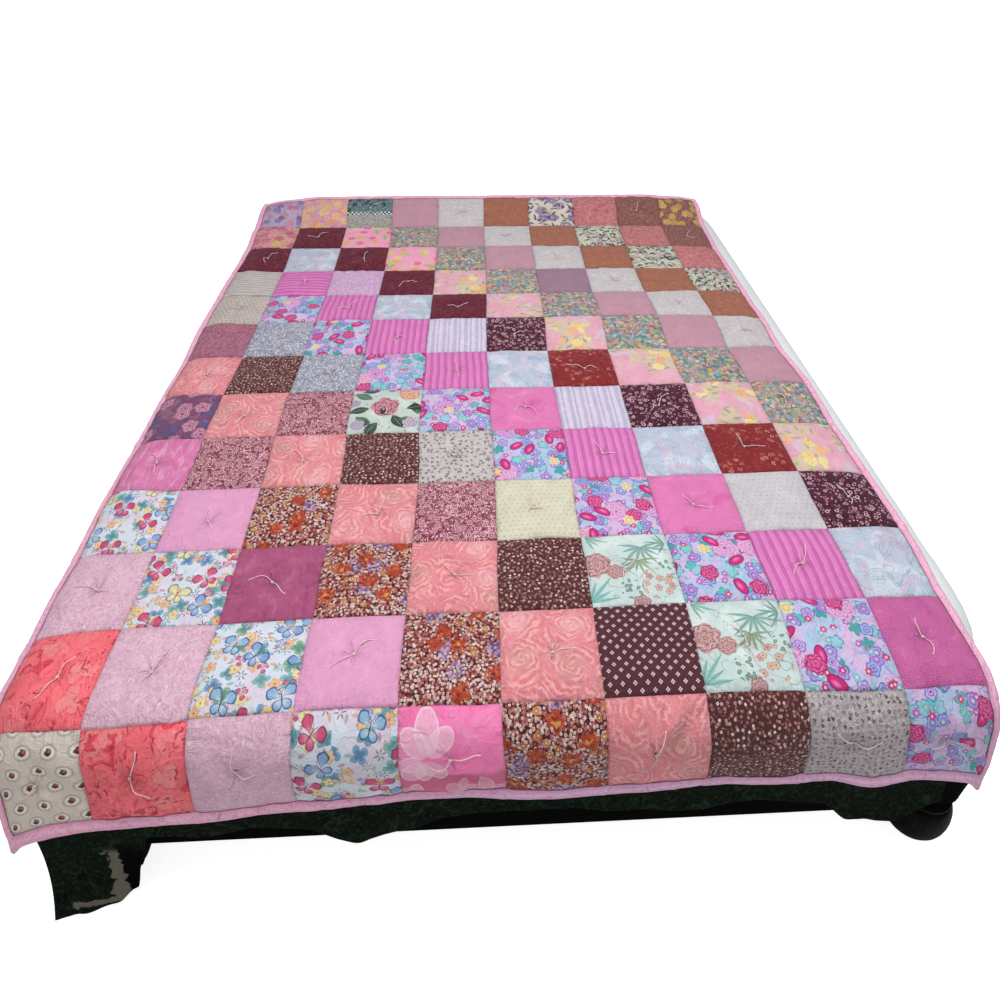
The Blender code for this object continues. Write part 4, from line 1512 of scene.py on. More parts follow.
def pink_gold(c):
    c.ground("d898b6")
    c.paint(c.over(c.noise(3.2, 3.0, 0.5, 0.6, 1.0), 0.52, 0.16), "e8ab9e", 0.85)
    m = c.scatter(3.6, 0.8, 3.0)
    c.paint(c.petals(m, 6, 0.42, 0.3), c.pick(m.b, "e8bc80", "e2a080", "e6c892"), 0.9)
    c.paint(c.ring(m, 0.2, 0.05), "e8935f", 0.6)
    n = c.scatter(7.0, 0.9, 5.0)
    c.paint(c.leaf(n, 0.40, 0.10), c.pick(n.b, "9dbd7c", "c46a9a", "8fae9a"), 0.7)


def teal_border(c):
    """Teal with plain dark leaf shapes over a checked band, and an off-white foot."""
    c.ground("627b7f")
    m = c.scatter(4.6, 0.7, 1.0)
    c.paint(c.leaf(m, 0.46, 0.21), "20393f", 0.92)
    c.paint(c.leaf(m, 0.42, 0.02), "627b7f", 0.7)
    n = c.scatter(9.0, 0.9, 2.0)
    c.paint(c.disk(n, 0.13), "c4ccc2", 0.7)
    x, y = c.split(c.spot(0, 0, 1.0).v)
    low = c.inside(y, 0.40, 0.01)
    c.paint(low, "aca9a2")
    k = c.scatter(13.0, 0.9, 4.0)
    c.paint(c.both(low, c.petals(k, 4, 0.38, 0.5)), c.pick(k.b, "7a8a80", "a08a94", "6c7a84"), 0.85)
    checked = c.new("ShaderNodeTexChecker")
    c.put(checked.inputs["Vector"], c.coords(1.0))
    checked.inputs["Scale"].default_value = 22.0
    checked.inputs["Color1"].default_value = ink("101116")
    checked.inputs["Color2"].default_value = ink("dfe3e4")
    band = c.inside(c.math("ABSOLUTE", c.sub(y, 0.45)), 0.055, 0.008)
    c.paint(band, checked.outputs[0])


def cream_purple(c):
    c.ground("d8cfc2")
    m = c.scatter(3.2, 0.75, 1.0)
    c.rose(c.ragged(m, 0.08, 16.0), 0.44, 5, 2.4, c.pick(m.b, "9c7cab", "7f5f94", "b89cba"), "55386c", "cdb6cf")
    c.paint(c.disk(m, 0.06), "e6c777")
    n = c.scatter(6.5, 0.9, 4.0)
    c.paint(c.leaf(n, 0.48, 0.16), c.pick(n.b, "4a5846", "6f8068", "2f3a34"), 0.9)


def scroll_leaf(c):
    c.ground("cfd5bd")
    c.paint(c.over(c.noise(4.0, 2.0, 0.5, 0.5, 1.0), 0.56, 0.12), "bf9fb4", 0.7)
    m = c.scatter(6.0, 0.9, 2.0)
    c.paint(c.leaf(m, 0.52, 0.17, bow=1.2), c.pick(m.b, "26332d", "161e1f", "435546"), 0.94)
    c.paint(c.leaf(m, 0.46, 0.02, bow=1.2, soft=0.02), "9cab92", 0.8)
    c.paint(c.vines(5.0, 0.020, seed=4, distort=1.4), "26322c", 0.85)
    n = c.scatter(4.4, 0.9, 8.0)
    c.paint(c.both(c.over(n.c, 0.62, 0.01), c.petals(n, 5, 0.28, 0.3)), c.pick(n.b, "b98aa8", "d4b8a0"), 0.85)


def coral_garden(c):
    c.ground("e39b99")
    c.paint(c.over(c.noise(3.0, 2.0, 0.5, 0.5, 1.0), 0.56, 0.12), "d9a184", 0.7)
    m = c.scatter(3.4, 0.8, 3.0)
    c.rose(c.ragged(m, 0.08, 16.0), 0.42, 5, 2.4, c.pick(m.b, "c2557f", "dcb46c", "d4767c", "cf6488"), c.pick(m.b, "8f2f5c", "b9804a", "a84f5c", "96365c"), c.pick(m.b, "e09ab4", "ecd8a0", "e8a8a4", "eab0c0"))
    n = c.scatter(7.5, 0.9, 5.0)
    c.paint(c.both(c.over(n.c, 0.30, 0.01), c.leaf(n, 0.42, 0.13)), c.pick(n.b, "9a4a72", "7f9460", "c4688c"), 0.8)


def maroon(c):
    c.ground("65142c")
    c.mottle(4.0, "52182a", "7c3044", 0.85, detail=4.0)
    m = c.scatter(13.0, 0.9, 2.0)
    c.paint(c.leaf(m, 0.42, 0.15, soft=0.08), c.pick(m.b, "8a3f52", "461424", "7c3346"), 0.65)
    n = c.scatter(22.0, 0.95, 6.0)
    c.paint(c.both(c.over(n.c, 0.4, 0.01), c.disk(n, 0.22, 0.10)), c.pick(n.b, "94505f", "461424"), 0.6)


def lime_leaf(c):
    c.ground("faa6c8")
    c.paint(c.over(c.noise(3.0, 2.0, 0.5, 0.6, 1.0), 0.56, 0.14), "efb0bc", 0.85)
    m = c.scatter(3.0, 0.8, 3.0)
    want = c.over(m.c, 0.30, 0.01)
    c.paint(c.both(want, c.leaf(m, 0.50, 0.18)), c.pick(m.b, "c6d27c", "dcd884", "a6c47a"), 0.85)
    c.paint(c.both(want, c.leaf(m, 0.46, 0.025)), "7c9f58", 0.7)
    n = c.scatter(3.8, 0.8, 6.0)
    want = c.over(n.c, 0.35, 0.01)
    c.rose(c.ragged(n, 0.08, 17.0), 0.32, 5, 2.2, c.pick(n.b, "eed184", "e46c96", "eea678"), c.pick(n.b, "cf9a54", "b83f6c", "cf7048"), c.pick(n.b, "f6e8b4", "f4a8c0", "f6cfa8"), wanted=want)


def rose_bouquet(c):
    """Yellow and orange roses among sage leaves on pink."""
    c.ground("e6a9bc")
    c.paint(c.over(c.noise(2.0, 2.0, 0.5, 0.7, 1.0), 0.55, 0.16), "e9b3c4", 0.85)
    c.paint(c.inside(c.noise(2.6, 2.0, 0.5, 0.5, 12.0), 0.38, 0.10), "d9c9d6", 0.8)
    near = c.noise(1.8, 2.0, 0.55, 0.5, 4.0)
    group = c.over(near, 0.50, 0.06)
    c.paint(c.both(group, c.over(c.noise(7.0, 2.0, 0.6, 0.6, 8.0), 0.46, 0.10)), "d4cf9c", 0.75)
    leaves = c.scatter(6.5, 0.9, 5.0)
    c.paint(c.both(group, c.leaf(leaves, 0.50, 0.17, soft=0.06)), c.pick(leaves.b, "94a98c", "b0bb92", "86a096", "c3c795"), 0.80)
    m = c.ragged(c.scatter(4.0, 0.8, 3.0), 0.12, 18.0)
    want = c.both(c.over(near, 0.53, 0.05), c.over(m.c, 0.35, 0.01))
    c.rose(m, 0.42, 5, 2.4, c.pick(m.b, "efd27c", "edb578", "f2dd98"), c.pick(m.b, "dfa25e", "dc8e5c", "d9b066"), c.pick(m.b, "f6e6ac", "f5cf9a", "f8ecb8"), wanted=want, soft=0.06, share=0.7)
    c.mottle(9.0, "e59fb2", "f3bccb", 0.3, seed=5)


def paisley_mosaic(c):
    """Small curled shapes in teal, gold, rose and grey, crowded together."""
    c.ground("6d7c80")
    v = c.bend(c.coords(15.0), 0.7, 0.5)
    m = c.scatter(1.0, 1.0, vector=v)
    c.paint(c.petals(m, 3, 0.62, 0.30, soft=0.08), c.pick(m.b, "4f9a98", "dcb35c", "dc8ea0", "8fa594", "6fa8bc", "cfcab4", "b4647a", "9a8fb0"))
    c.paint(c.ring(m, 0.26, 0.08, 0.06), c.pick(m.c, "e3d4a8", "35565c", "e8bcc4", "7c4a4a", "a8c4c4"), 0.8)
    c.paint(c.disk(m, 0.10, 0.06), c.pick(m.a, "35565c", "c9a05a", "8c4456", "e6dfc4"), 0.9)
    c.paint(c.over(c.noise(3.4, 2.0, 0.5, 0.4, 2.0), 0.57, 0.08), c.pick(m.a, "d6a862", "5f9f9c", "cc8496", "9aa89a", "a89fbc"), 0.45)
    big = c.scatter(4.4, 0.9, 4.0)
    c.paint(c.ring(big, 0.30, 0.06), "d6b26c", 0.5)
    c.paint(c.ring(big, 0.19, 0.05), "3f8284", 0.5)


def line_leaves(c):
    """Large leaves drawn in soft grey line on pale blue, with pink places."""
    c.ground("bfcadc")
    c.paint(c.over(c.noise(2.4, 2.0, 0.5, 0.7, 1.0), 0.54, 0.12), "d8c2d6", 0.75)
    c.paint(c.inside(c.noise(3.0, 2.0, 0.5, 0.5, 5.0), 0.43, 0.10), "d3e0ea", 0.8)
    m = c.scatter(2.7, 0.9, 2.0)
    for long, wide, line in ((0.52, 0.22, 0.028), (0.40, 0.11, 0.024)):
        outer = c.leaf(m, long, wide, bow=0.5, soft=0.03)
        c.paint(c.without(outer, c.leaf(m, long - line, wide - line * 0.8, bow=0.5, soft=0.03)), "8c9fb6", 0.70)
    c.paint(c.both(c.leaf(m, 0.5, 0.2, bow=0.5), c.vines(8.0, 0.014, distort=0.8)), "9cadc4", 0.6)
    n = c.scatter(4.6, 0.9, 7.0)
    outer = c.leaf(n, 0.46, 0.16, bow=-0.6, soft=0.03)
    c.paint(c.without(outer, c.leaf(n, 0.42, 0.13, bow=-0.6, soft=0.03)), "95a5bc", 0.6)
    c.paint(c.vines(4.0, 0.010, seed=3, distort=0.9), "96a7be", 0.6)


def taupe_stripe(c):
    c.ground("d4ccc6")
    c.paint(c.bands(11.0, 0.42, upright=False, sway=0.2), "a8a0a4", 0.75)
    c.paint(c.bands(33.0, 0.25, upright=False), "beb4b0", 0.5)
    c.paint(c.over(c.noise(1.0, 1.0, seed=4, stretch=(60.0, 11.0)), 0.6, 0.1), "8f868c", 0.35)


def pink_stripe(c, upright=True):
    c.ground("de7fbf")
    c.paint(c.bands(9.0, 0.44, soft=0.16, upright=upright, sway=0.10), "c760a8", 0.9)
    c.paint(c.bands(9.0, 0.08, soft=0.10, upright=upright, seed=0.5, sway=0.10), "e8a0d1", 0.6)
    c.paint(c.bands(36.0, 0.22, soft=0.3, upright=upright), "e597ce", 0.35)


def pink_stripe_across(c): pink_stripe(c, upright=False)


def lilac_speckle(c):
    c.ground("d0aacf")
    m = c.scatter(30.0, 1.0, 1.0)
    c.paint(c.disk(m, 0.26, 0.12), c.pick(m.b, "b985b4", "e4c2de", "a774a8"), 0.7)
    n = c.scatter(12.0, 1.0, 2.0)
    c.paint(c.petals(n, 4, 0.26, 0.5), "e6c9e2", 0.7)


def beige_speck(c):
    c.ground("c8bcb4")
    c.mottle(3.0, "bfb2ae", "d3c8c0", 0.6)
    m = c.grid(12.0, 13.0)
    c.paint(c.petals(m, 4, 0.22, 0.5, soft=0.08), c.pick(m.a, "7a7478", "98908c", "6b6a70"), 0.75)
    n = c.scatter(21.0, 1.0, 2.0)
    c.paint(c.leaf(n, 0.34, 0.12), c.pick(n.b, "a89c96", "dcd3cb", "998f90"), 0.6)


def mauve_print(c):
    c.ground("ab6b80")
    c.mottle(3.0, "9f607c", "b87a8c", 0.7)
    m = c.scatter(22.0, 0.9, 1.0)
    c.paint(c.petals(m, 4, 0.36, 0.5), c.pick(m.b, "c28b9c", "864664", "b4788c"), 0.8)
    n = c.scatter(15.0, 0.95, 6.0)
    c.paint(c.both(c.over(n.c, 0.5, 0.01), c.disk(n, 0.17, 0.08)), "6f3c60", 0.75)


def grey_speckle(c):
    c.ground("a2a1b0")
    m = c.scatter(19.0, 1.0, 1.0)
    c.paint(c.leaf(m, 0.44, 0.17, soft=0.12), c.pick(m.b, "596180", "eaedf5", "858ea8", "dde1ec"), 0.90)
    n = c.scatter(31.0, 1.0, 3.0)
    c.paint(c.leaf(n, 0.40, 0.20, soft=0.12), c.pick(n.b, "eceef6", "69728f", "b0b4c4"), 0.8)


def lavender_garden(c):
    """Peonies, rosebuds and outlined flowers among turquoise leaves on pale lilac."""
    c.ground("c9c2e6")
    wash = c.noise(2.6, 2.0, 0.5, 0.5, 8.0)
    c.paint(c.over(wash, 0.54, 0.14), "dfb9dd", 0.80)
    c.paint(c.inside(wash, 0.44, 0.14), "a8cbe2", 0.85)
    c.mottle(9.0, "b0a6d6", "dcd3f0", 0.5, seed=5)
    c.paint(c.vines(6.5, 0.020, seed=3, distort=1.0), "8a7cc0", 0.55)
    leaves = c.ragged(c.scatter(4.7, 0.95, 5.0), 0.10, 22.0, 8.0)
    want = c.over(leaves.c, 0.30, 0.01)
    outer, core = c.petals(leaves, 5, 0.40, 0.50, soft=0.04, sharp=0.7), c.petals(leaves, 5, 0.32, 0.50, soft=0.04, sharp=0.7)
    c.paint(c.both(want, outer), "3a8f9a", 0.85)
    c.paint(c.both(want, core), c.pick(leaves.b, "5cc0be", "8ad2d2", "46a9a6", "9ccfe0"), 0.9)
    spiral = c.ragged(c.scatter(5.2, 0.9, 2.0), 0.08, 25.0, 4.0)
    want = c.over(spiral.c, 0.42, 0.01)
    c.paint(c.both(want, c.petals(spiral, 5, 0.42, 0.24, soft=0.04)), "6756ae", 0.85)
    c.paint(c.both(want, c.petals(spiral, 5, 0.345, 0.24, soft=0.04)), c.pick(spiral.b, "b3a4e2", "9fb4ea", "cbb2e6", "b892d8"), 0.95)
    c.paint(c.both(want, c.ring(spiral, 0.17, 0.055)), "7060b4", 0.8)
    c.paint(c.both(want, c.disk(spiral, 0.06, 0.03)), c.pick(spiral.b, "f0dfa8", "7c4aa4", "e6a0c8"))
    small = c.scatter(8.6, 0.95, 7.0)
    want = c.over(small.c, 0.70, 0.01)
    c.paint(c.both(want, c.petals(small, 6, 0.38, 0.4)), c.pick(small.b, "cf3f80", "b868bc", "7ac2c6"), 0.95)
    c.paint(c.both(want, c.disk(small, 0.11)), "f3d6da")
    peony = c.ragged(c.scatter(1.9, 0.75, 3.0), 0.10, 13.0, 3.0)
    want = c.over(peony.c, 0.46, 0.01)
    c.paint(c.both(want, c.petals(peony, 7, 0.335, 0.20, soft=0.02)), "9a55a4", 0.9)
    c.rose(peony, 0.315, 7, 3.4, c.pick(peony.b, "dfa3d2", "e2a9cc", "d295cf"), c.pick(peony.b, "b765b0", "c0609c", "a35fae"), c.pick(peony.b, "eec4e2", "f3cadd", "e6bfe6"), wanted=want, soft=0.02, share=0.75)
    c.paint(c.both(want, c.disk(peony, 0.035, 0.03)), "8f4a94")
    bud = c.scatter(3.2, 0.85, 13.0)
    want = c.over(bud.c, 0.58, 0.01)
    c.paint(c.both(want, c.oval(bud, 0.36, 0.20, 0.03)), "961d60")
    c.paint(c.both(want, c.oval(bud, 0.31, 0.155, 0.04)), "d32f84")
    c.paint(c.both(want, c.oval(bud, 0.15, 0.06, 0.06, 0.03, 0.03)), "ee7fb4", 0.9)
    red = c.ragged(c.scatter(2.5, 0.85, 23.0), 0.08, 18.0, 5.0)
    want = c.over(red.c, 0.62, 0.01)
    c.paint(c.both(want, c.petals(red, 5, 0.27, 0.14, soft=0.02)), "861a56")
    c.rose(red, 0.25, 5, 2.8, "cf3580", "98205f", "ea86b4", wanted=want, soft=0.02, share=0.9)
    gold = c.scatter(2.0, 0.8, 17.0)
    want = c.over(gold.c, 0.74, 0.01)
    c.paint(c.both(want, c.petals(gold, 6, 0.15, 0.3, soft=0.03)), "efdca0", 0.95)
    c.paint(c.both(want, c.ring(gold, 0.07, 0.02)), "c99a6a", 0.8)


def lilac_stripe(c):
    """Fine uneven stripes in lilac, grey-blue and white."""
    c.ground("dfd5e6")
    x, y = c.split(c.coords(1.0))
    n = c.new("ShaderNodeTexNoise", noise_dimensions="1D")
    c.put(n.inputs["W"], c.mul(x, 23.0))
    n.inputs["Scale"].default_value = 1.0
    n.inputs["Detail"].default_value = 1.0
    c.paint(c.bands(11.0, 0.40, soft=0.30), c.pick(n.outputs[0], "b9b3d2", "c6aed0", "a9afcc", "ccb4d0", smooth=True), 0.85)
    c.paint(c.bands(22.0, 0.22, soft=0.25, seed=0.4), "c6b6d6", 0.6)
    c.paint(c.bands(5.5, 0.12, soft=0.10, seed=0.8), "9aa0c0", 0.6)
    c.mottle(16.0, "cfc6de", "efeaf4", 0.4, seed=4)


def maroon_bloom(c):
    c.ground("45192b")
    c.mottle(3.0, "3c1a2a", "5c2440", 0.8)
    n = c.scatter(21.0, 0.95, 4.0)
    c.paint(c.both(c.over(n.c, 0.25, 0.01), c.disk(n, 0.27, 0.12)), c.pick(n.b, "b4748a", "743850", "d8a6b6", "5f2a44"), 0.88)
    m = c.scatter(12.0, 0.9, 1.0)
    want = c.over(m.c, 0.40, 0.01)
    c.paint(c.both(want, c.ring(m, 0.25, 0.13, 0.08)), c.pick(m.b, "d8a6b2", "b47a8c", "eac8ce"), 0.92)
    c.paint(c.both(want, c.disk(m, 0.08, 0.05)), "4b2031", 0.8)


def brick_sprig(c):
    c.ground("862528")
    c.mottle(3.6, "77202a", "993434", 0.8, detail=4.0)
    near = c.over(c.noise(2.6, 1.0, 0.5, 0.3, 6.0), 0.47, 0.08)
    m = c.scatter(9.0, 0.95, 1.0)
    for k, (dx, dy) in enumerate(((0.0, 0.0), (0.12, 0.15), (-0.10, 0.16), (0.18, -0.13), (-0.16, -0.12))):
        c.paint(c.both(near, c.leaf(m, 0.17 if k else 0.38, 0.07 if k else 0.022, dx=dx, dy=dy, soft=0.05)), c.pick(m.b, "cf8078", "b9635f", "dc9a90"), 0.80)
    n = c.scatter(16.0, 0.9, 5.0)
    c.paint(c.both(c.over(n.c, 0.62, 0.01), c.leaf(n, 0.34, 0.11)), "b25a58", 0.7)


def coral_swirl(c):
    """Pale feathery roses turning over coral, greyed here and there."""
    c.ground("e28591")
    c.mottle(2.6, "de7c82", "efa3a4", 0.8, detail=3.0, distort=0.8)
    v = c.bend(c.coords(2.2, seed=2.0), 0.30, 1.3)
    m = c.scatter(1.0, 0.85, vector=v)
    soft = c.inside(m.r, 0.30, 0.50)
    c.paint(c.both(soft, c.over(m.c, 0.66, 0.01)), "b99a8e", 0.50)
    c.paint(c.both(soft, c.inside(m.c, 0.30, 0.01)), "efb9c2", 0.60)
    wobble = c.noise(5.0, 3.0, 0.6, 0.4, 7.0)
    arc = c.math("SINE", c.add(c.mad(m.r, 40.0, c.mul(c.angle(m), 1.0)), c.mul(wobble, 16.0)))
    sweep = c.inside(c.math("ABSOLUTE", c.math("SINE", c.mad(m.r, 5.0, c.mul(c.angle(m), 1.5)))), 0.75, 0.7)
    c.paint(c.both(sweep, c.over(arc, 0.35, 0.9)), "f7bdb6", 0.62)
    c.paint(c.both(sweep, c.inside(arc, -0.45, 0.8)), "d0747a", 0.50)
    fine = c.noise(1.0, 2.0, 0.6, 2.6, 11.0, stretch=(9.0, 7.0))
    c.paint(c.inside(c.math("ABSOLUTE", c.sub(fine, 0.5)), 0.014, 0.025), "fad4cc", 0.50)
    c.paint(c.inside(c.math("ABSOLUTE", c.sub(fine, 0.56)), 0.010, 0.020), "cc7276", 0.35)


def brown_dots(c):
    """Small pale four-petalled specks strewn over brown."""
    c.ground("532a2d")
    c.mottle(6.0, "472325", "613538", 0.5)
    m = c.scatter(19.0, 0.80, 1.0)
    c.paint(c.petals(m, 4, 0.27, 0.30, soft=0.14), c.pick(m.a, "e0beb6", "aa7c74", "f0dcd6", "c89c92", "966660"), 0.95)
    c.paint(c.both(c.over(m.b, 0.35, 0.01), c.disk(m, 0.085, 0.06)), "532a2d", 0.9)
    n = c.scatter(27.0, 0.95, 5.0)
    c.paint(c.both(c.over(n.c, 0.30, 0.01), c.leaf(n, 0.40, 0.17)), c.pick(n.b, "96655e", "b08278", "7d504c"), 0.80)


def plum_bloom(c):
    """Ring-like roses on mauve and blue."""
    c.ground("7e4768")
    patch = c.noise(3.2, 2.0, 0.5, 0.5, 1.0)
    c.paint(c.over(patch, 0.55, 0.08), "5c5888", 0.85)
    c.paint(c.inside(patch, 0.40, 0.08), "9c667c", 0.8)
    leaves = c.scatter(7.0, 0.9, 5.0)
    c.paint(c.leaf(leaves, 0.46, 0.15), c.pick(leaves.b, "6c74a0", "4f4878", "7d5682"), 0.7)
    m = c.scatter(2.7, 0.75, 3.0)
    want = c.over(m.c, 0.22, 0.01)
    c.rose(c.ragged(m, 0.05, 16.0), 0.36, 5, 2.6, "bd7c9b", "7c3a5c", "d9a8b8", wanted=want)
    c.paint(c.both(want, c.disk(m, 0.06)), "7c3a5c")


def burgundy_vine(c):
    c.ground("7d2d43")
    c.paint(c.vines(9.0, 0.034, distort=1.6, seed=1.0), "e4b0ba", 0.88)
    c.paint(c.vines(15.0, 0.030, distort=1.2, seed=5.0), "cf8f9f", 0.65)
    n = c.scatter(19.0, 0.95, 7.0)
    c.paint(c.both(c.over(n.c, 0.25, 0.01), c.leaf(n, 0.42, 0.17)), c.pick(n.b, "eabcc5", "d297a6", "f2d2d8"), 0.90)
    m = c.scatter(9.0, 0.85, 3.0)
    want = c.over(m.c, 0.22, 0.01)
    c.paint(c.both(want, c.disk(m, 0.36, 0.05)), "7d2d43")
    c.paint(c.both(want, c.either(c.ring(m, 0.27, 0.10, 0.05), c.disk(m, 0.10, 0.05))), "ecc2ca", 0.95)
    c.paint(c.both(want, c.both(c.disk(m, 0.36, 0.05), c.inside(c.math("ABSOLUTE", c.math("SINE", c.mul(c.angle(m), 3.0))), 0.22, 0.2))), "a85a6c", 0.7)


def dusty_rose(c):
    """A rose bud with dark leaves, a peach rose and grey-lavender flowers on mint."""
    c.ground("c3d1cb")
    c.paint(c.over(c.noise(2.4, 2.0, 0.5, 0.5, 1.0), 0.55, 0.12), "d2dcd4", 0.9)
    for x, y, size, turn, tone in (
        (0.30, 0.74, 0.30, 150, "51705c"), (0.28, 0.52, 0.30, 196, "25392f"), (0.10, 0.34, 0.30, 320, "4f6d58"),
        (0.62, 0.36, 0.32, 300, "1f332a"), (0.70, 0.28, 0.30, 345, "48664f"), (0.42, 0.20, 0.30, 235, "2c4a3a"),
        (0.90, 0.66, 0.28, 285, "3b5b48"), (0.14, 0.92, 0.28, 20, "2a4738"), (0.52, 0.92, 0.26, 60, "5c7a64"),
        (0.80, 0.50, 0.26, 20, "22382e"), (0.10, 0.08, 0.26, 40, "34523f"),
    ):
        leaf = c.spot(x, y, size, turn)
        c.paint(c.wing(leaf, 1.0, 0.26, 1.0, 0.03), tone, 0.94)
        c.paint(c.leaf(leaf, 0.46, 0.016, dx=0.50, soft=0.02), "9db59c", 0.7)
    for x, y, size, body, dark, light in (
        (0.50, 0.56, 0.22, "b77482", "7f3c50", "d9a3aa"),
        (0.82, 0.86, 0.18, "d99f88", "b06a58", "edc6b0"),
        (0.14, 0.16, 0.12, "b0a5b8", "857890", "cec4d2"),
        (0.88, 0.20, 0.12, "b8aab8", "8c7c8e", "d2c8d4"),
        (0.06, 0.66, 0.09, "aa9eb2", "807388", "c8bccc"),
    ):
        s = c.ragged(c.spot(x, y, size, 30), 0.22, 15.0)
        c.rose(s, 0.95, 5, 3.0, body, dark, light)
    calyx = c.spot(0.45, 0.42, 0.14, 60)
    for k in (-1, 0, 1):
        c.paint(c.wing(c.at(calyx, 0.0, 0.0, 34 * k), 0.85, 0.16, 1.2, 0.03), "22382e", 0.92)
    n = c.scatter(11.0, 0.9, 9.0)
    c.paint(c.both(c.over(n.c, 0.74, 0.01), c.disk(n, 0.15)), "9c5a68", 0.8)


def hot_pink(c):
    c.ground("e079b4")
    c.mottle(2.8, "d55aa2", "ec90c4", 0.85, detail=4.0, distort=0.4)
    m = c.grid(46.0, 46.0)
    c.paint(c.disk(m, 0.26, 0.2), "eda2cc", 0.38)


def pink_pin_dots(c):
    c.ground("c5609c")
    c.mottle(3.0, "bb4f94", "d677b4", 0.85)
    m = c.scatter(46.0, 0.55, 1.0)
    c.paint(c.disk(m, 0.24, 0.14), "de8cc0", 0.60)


def pink_swirl(c):
    c.ground("de80b0")
    c.mottle(2.6, "d26fa4", "e897c0", 0.85)
    streak = c.noise(1.0, 3.0, 0.6, 0.6, 3.0, stretch=(13.0, 3.2), turn=38)
    c.paint(c.over(streak, 0.58, 0.10), "eeb2d0", 0.55)
    c.paint(c.inside(streak, 0.41, 0.10), "c8649a", 0.45)


def grey_leaf(c):
    c.ground("c8bfc0")
    m = c.scatter(13.0, 0.85, 1.0)
    for dx, dy in ((0.14, 0.07), (-0.12, 0.12), (0.0, -0.17), (0.18, -0.12)):
        c.paint(c.leaf(m, 0.19, 0.080, dx=dx, dy=dy, soft=0.05), c.pick(m.b, "4c4b50", "6e6864", "303238", "855c5c"), 0.95)
    c.paint(c.leaf(m, 0.32, 0.016, soft=0.03), "6c6864", 0.7)
    n = c.scatter(20.0, 0.95, 4.0)
    c.paint(c.both(c.over(n.c, 0.5, 0.01), c.leaf(n, 0.34, 0.12)), c.pick(n.b, "8a8082", "e2dad8"), 0.85)


def grey_dots(c):
    """Small dark and mid grey specks thickly strewn on pale grey."""
    c.ground("b9adae")
    m = c.scatter(17.5, 0.58, 1.0)
    c.paint(c.petals(m, 3, 0.33, 0.30, soft=0.12), c.pick(m.a, "8f898d", "38333a", "7a7478", "565158", "99949a"), 0.92)
    c.paint(c.both(c.inside(m.b, 0.5, 0.01), c.disk(m, 0.10, 0.06)), "b3aeb1", 0.85)
    n = c.scatter(30.0, 0.95, 3.0)
    c.paint(c.leaf(n, 0.40, 0.17), c.pick(n.b, "e2dee0", "8d888d", "d3ced2", "a39ea2"), 0.80)
    c.mottle(12.0, "a8a3a7", "d0cccf", 0.3, seed=6)


def butterfly(c, m, want, fills, lines, glows):
    """Pointed upper wings and rounder lower ones about a thin body."""
    side = SimpleNamespace(x=c.math("ABSOLUTE", m.x), y=m.y, r=m.r, a=m.a, b=m.b, c=m.c, v=m.v, place=m.place, t=None)
    up, low = c.at(side, 0.0, 0.01, 36), c.at(side, 0.0, -0.02, -46)
    outer = c.either(c.wing(up, 0.47, 0.175, 1.75, 0.02), c.wing(low, 0.31, 0.125, 1.45, 0.02, blunt=True))
    c.paint(c.both(want, outer), lines, 0.92)
    up, low = c.at(side, 0.02, 0.025, 36), c.at(side, 0.02, -0.035, -46)
    inner = c.both(want, c.either(c.wing(up, 0.40, 0.128, 1.70, 0.04), c.wing(low, 0.25, 0.090, 1.4, 0.04, blunt=True)))
    c.paint(inner, fills, 0.95)
    c.paint(c.both(inner, c.inside(m.r, 0.18, 0.16)), glows, 0.75)
    veins = c.math("ABSOLUTE", c.math("SINE", c.mul(c.math("ARCTAN2", side.y, side.x), 8.0)))
    c.paint(c.both(inner, c.inside(veins, 0.13, 0.16)), lines, 0.5)
    c.paint(c.both(want, c.oval(m, 0.017, 0.15, 0.012, 0.0, 0.0)), "4f404c", 0.9)
    feeler = c.at(side, 0.0, 0.12, 62)
    c.paint(c.both(want, c.leaf(feeler, 0.09, 0.010, 0.012, dx=0.09)), "4f404c", 0.8)


def fan(c, s, count, span, wide, tone, deep):
    """One narrow blade turned about a point `count` times over part of a circle."""
    step = math.radians(span) / count
    round_it = c.math("FLOORED_MODULO", c.math("ARCTAN2", s.y, s.x), 2 * math.pi)
    number = c.math("FLOOR", c.mul(round_it, 1 / step))
    local = c.sub(round_it, c.mul(c.add(number, 0.5), step))
    reach = c.mul(s.r, c.mad(c.math("SINE", c.mul(number, 2.4)), 0.28, 1.30))
    turned = SimpleNamespace(**vars(s))
    turned.x, turned.y = c.mul(reach, c.math("COSINE", local)), c.mul(s.r, c.math("SINE", local))
    blade = c.both(c.wing(turned, 1.0, wide, 0.75, 0.02), c.inside(number, count - 0.5, 0.1))
    c.paint(blade, tone, 0.85)
    c.paint(c.both(blade, c.inside(c.math("ABSOLUTE", turned.y), 0.014, 0.012)), deep, 0.70)


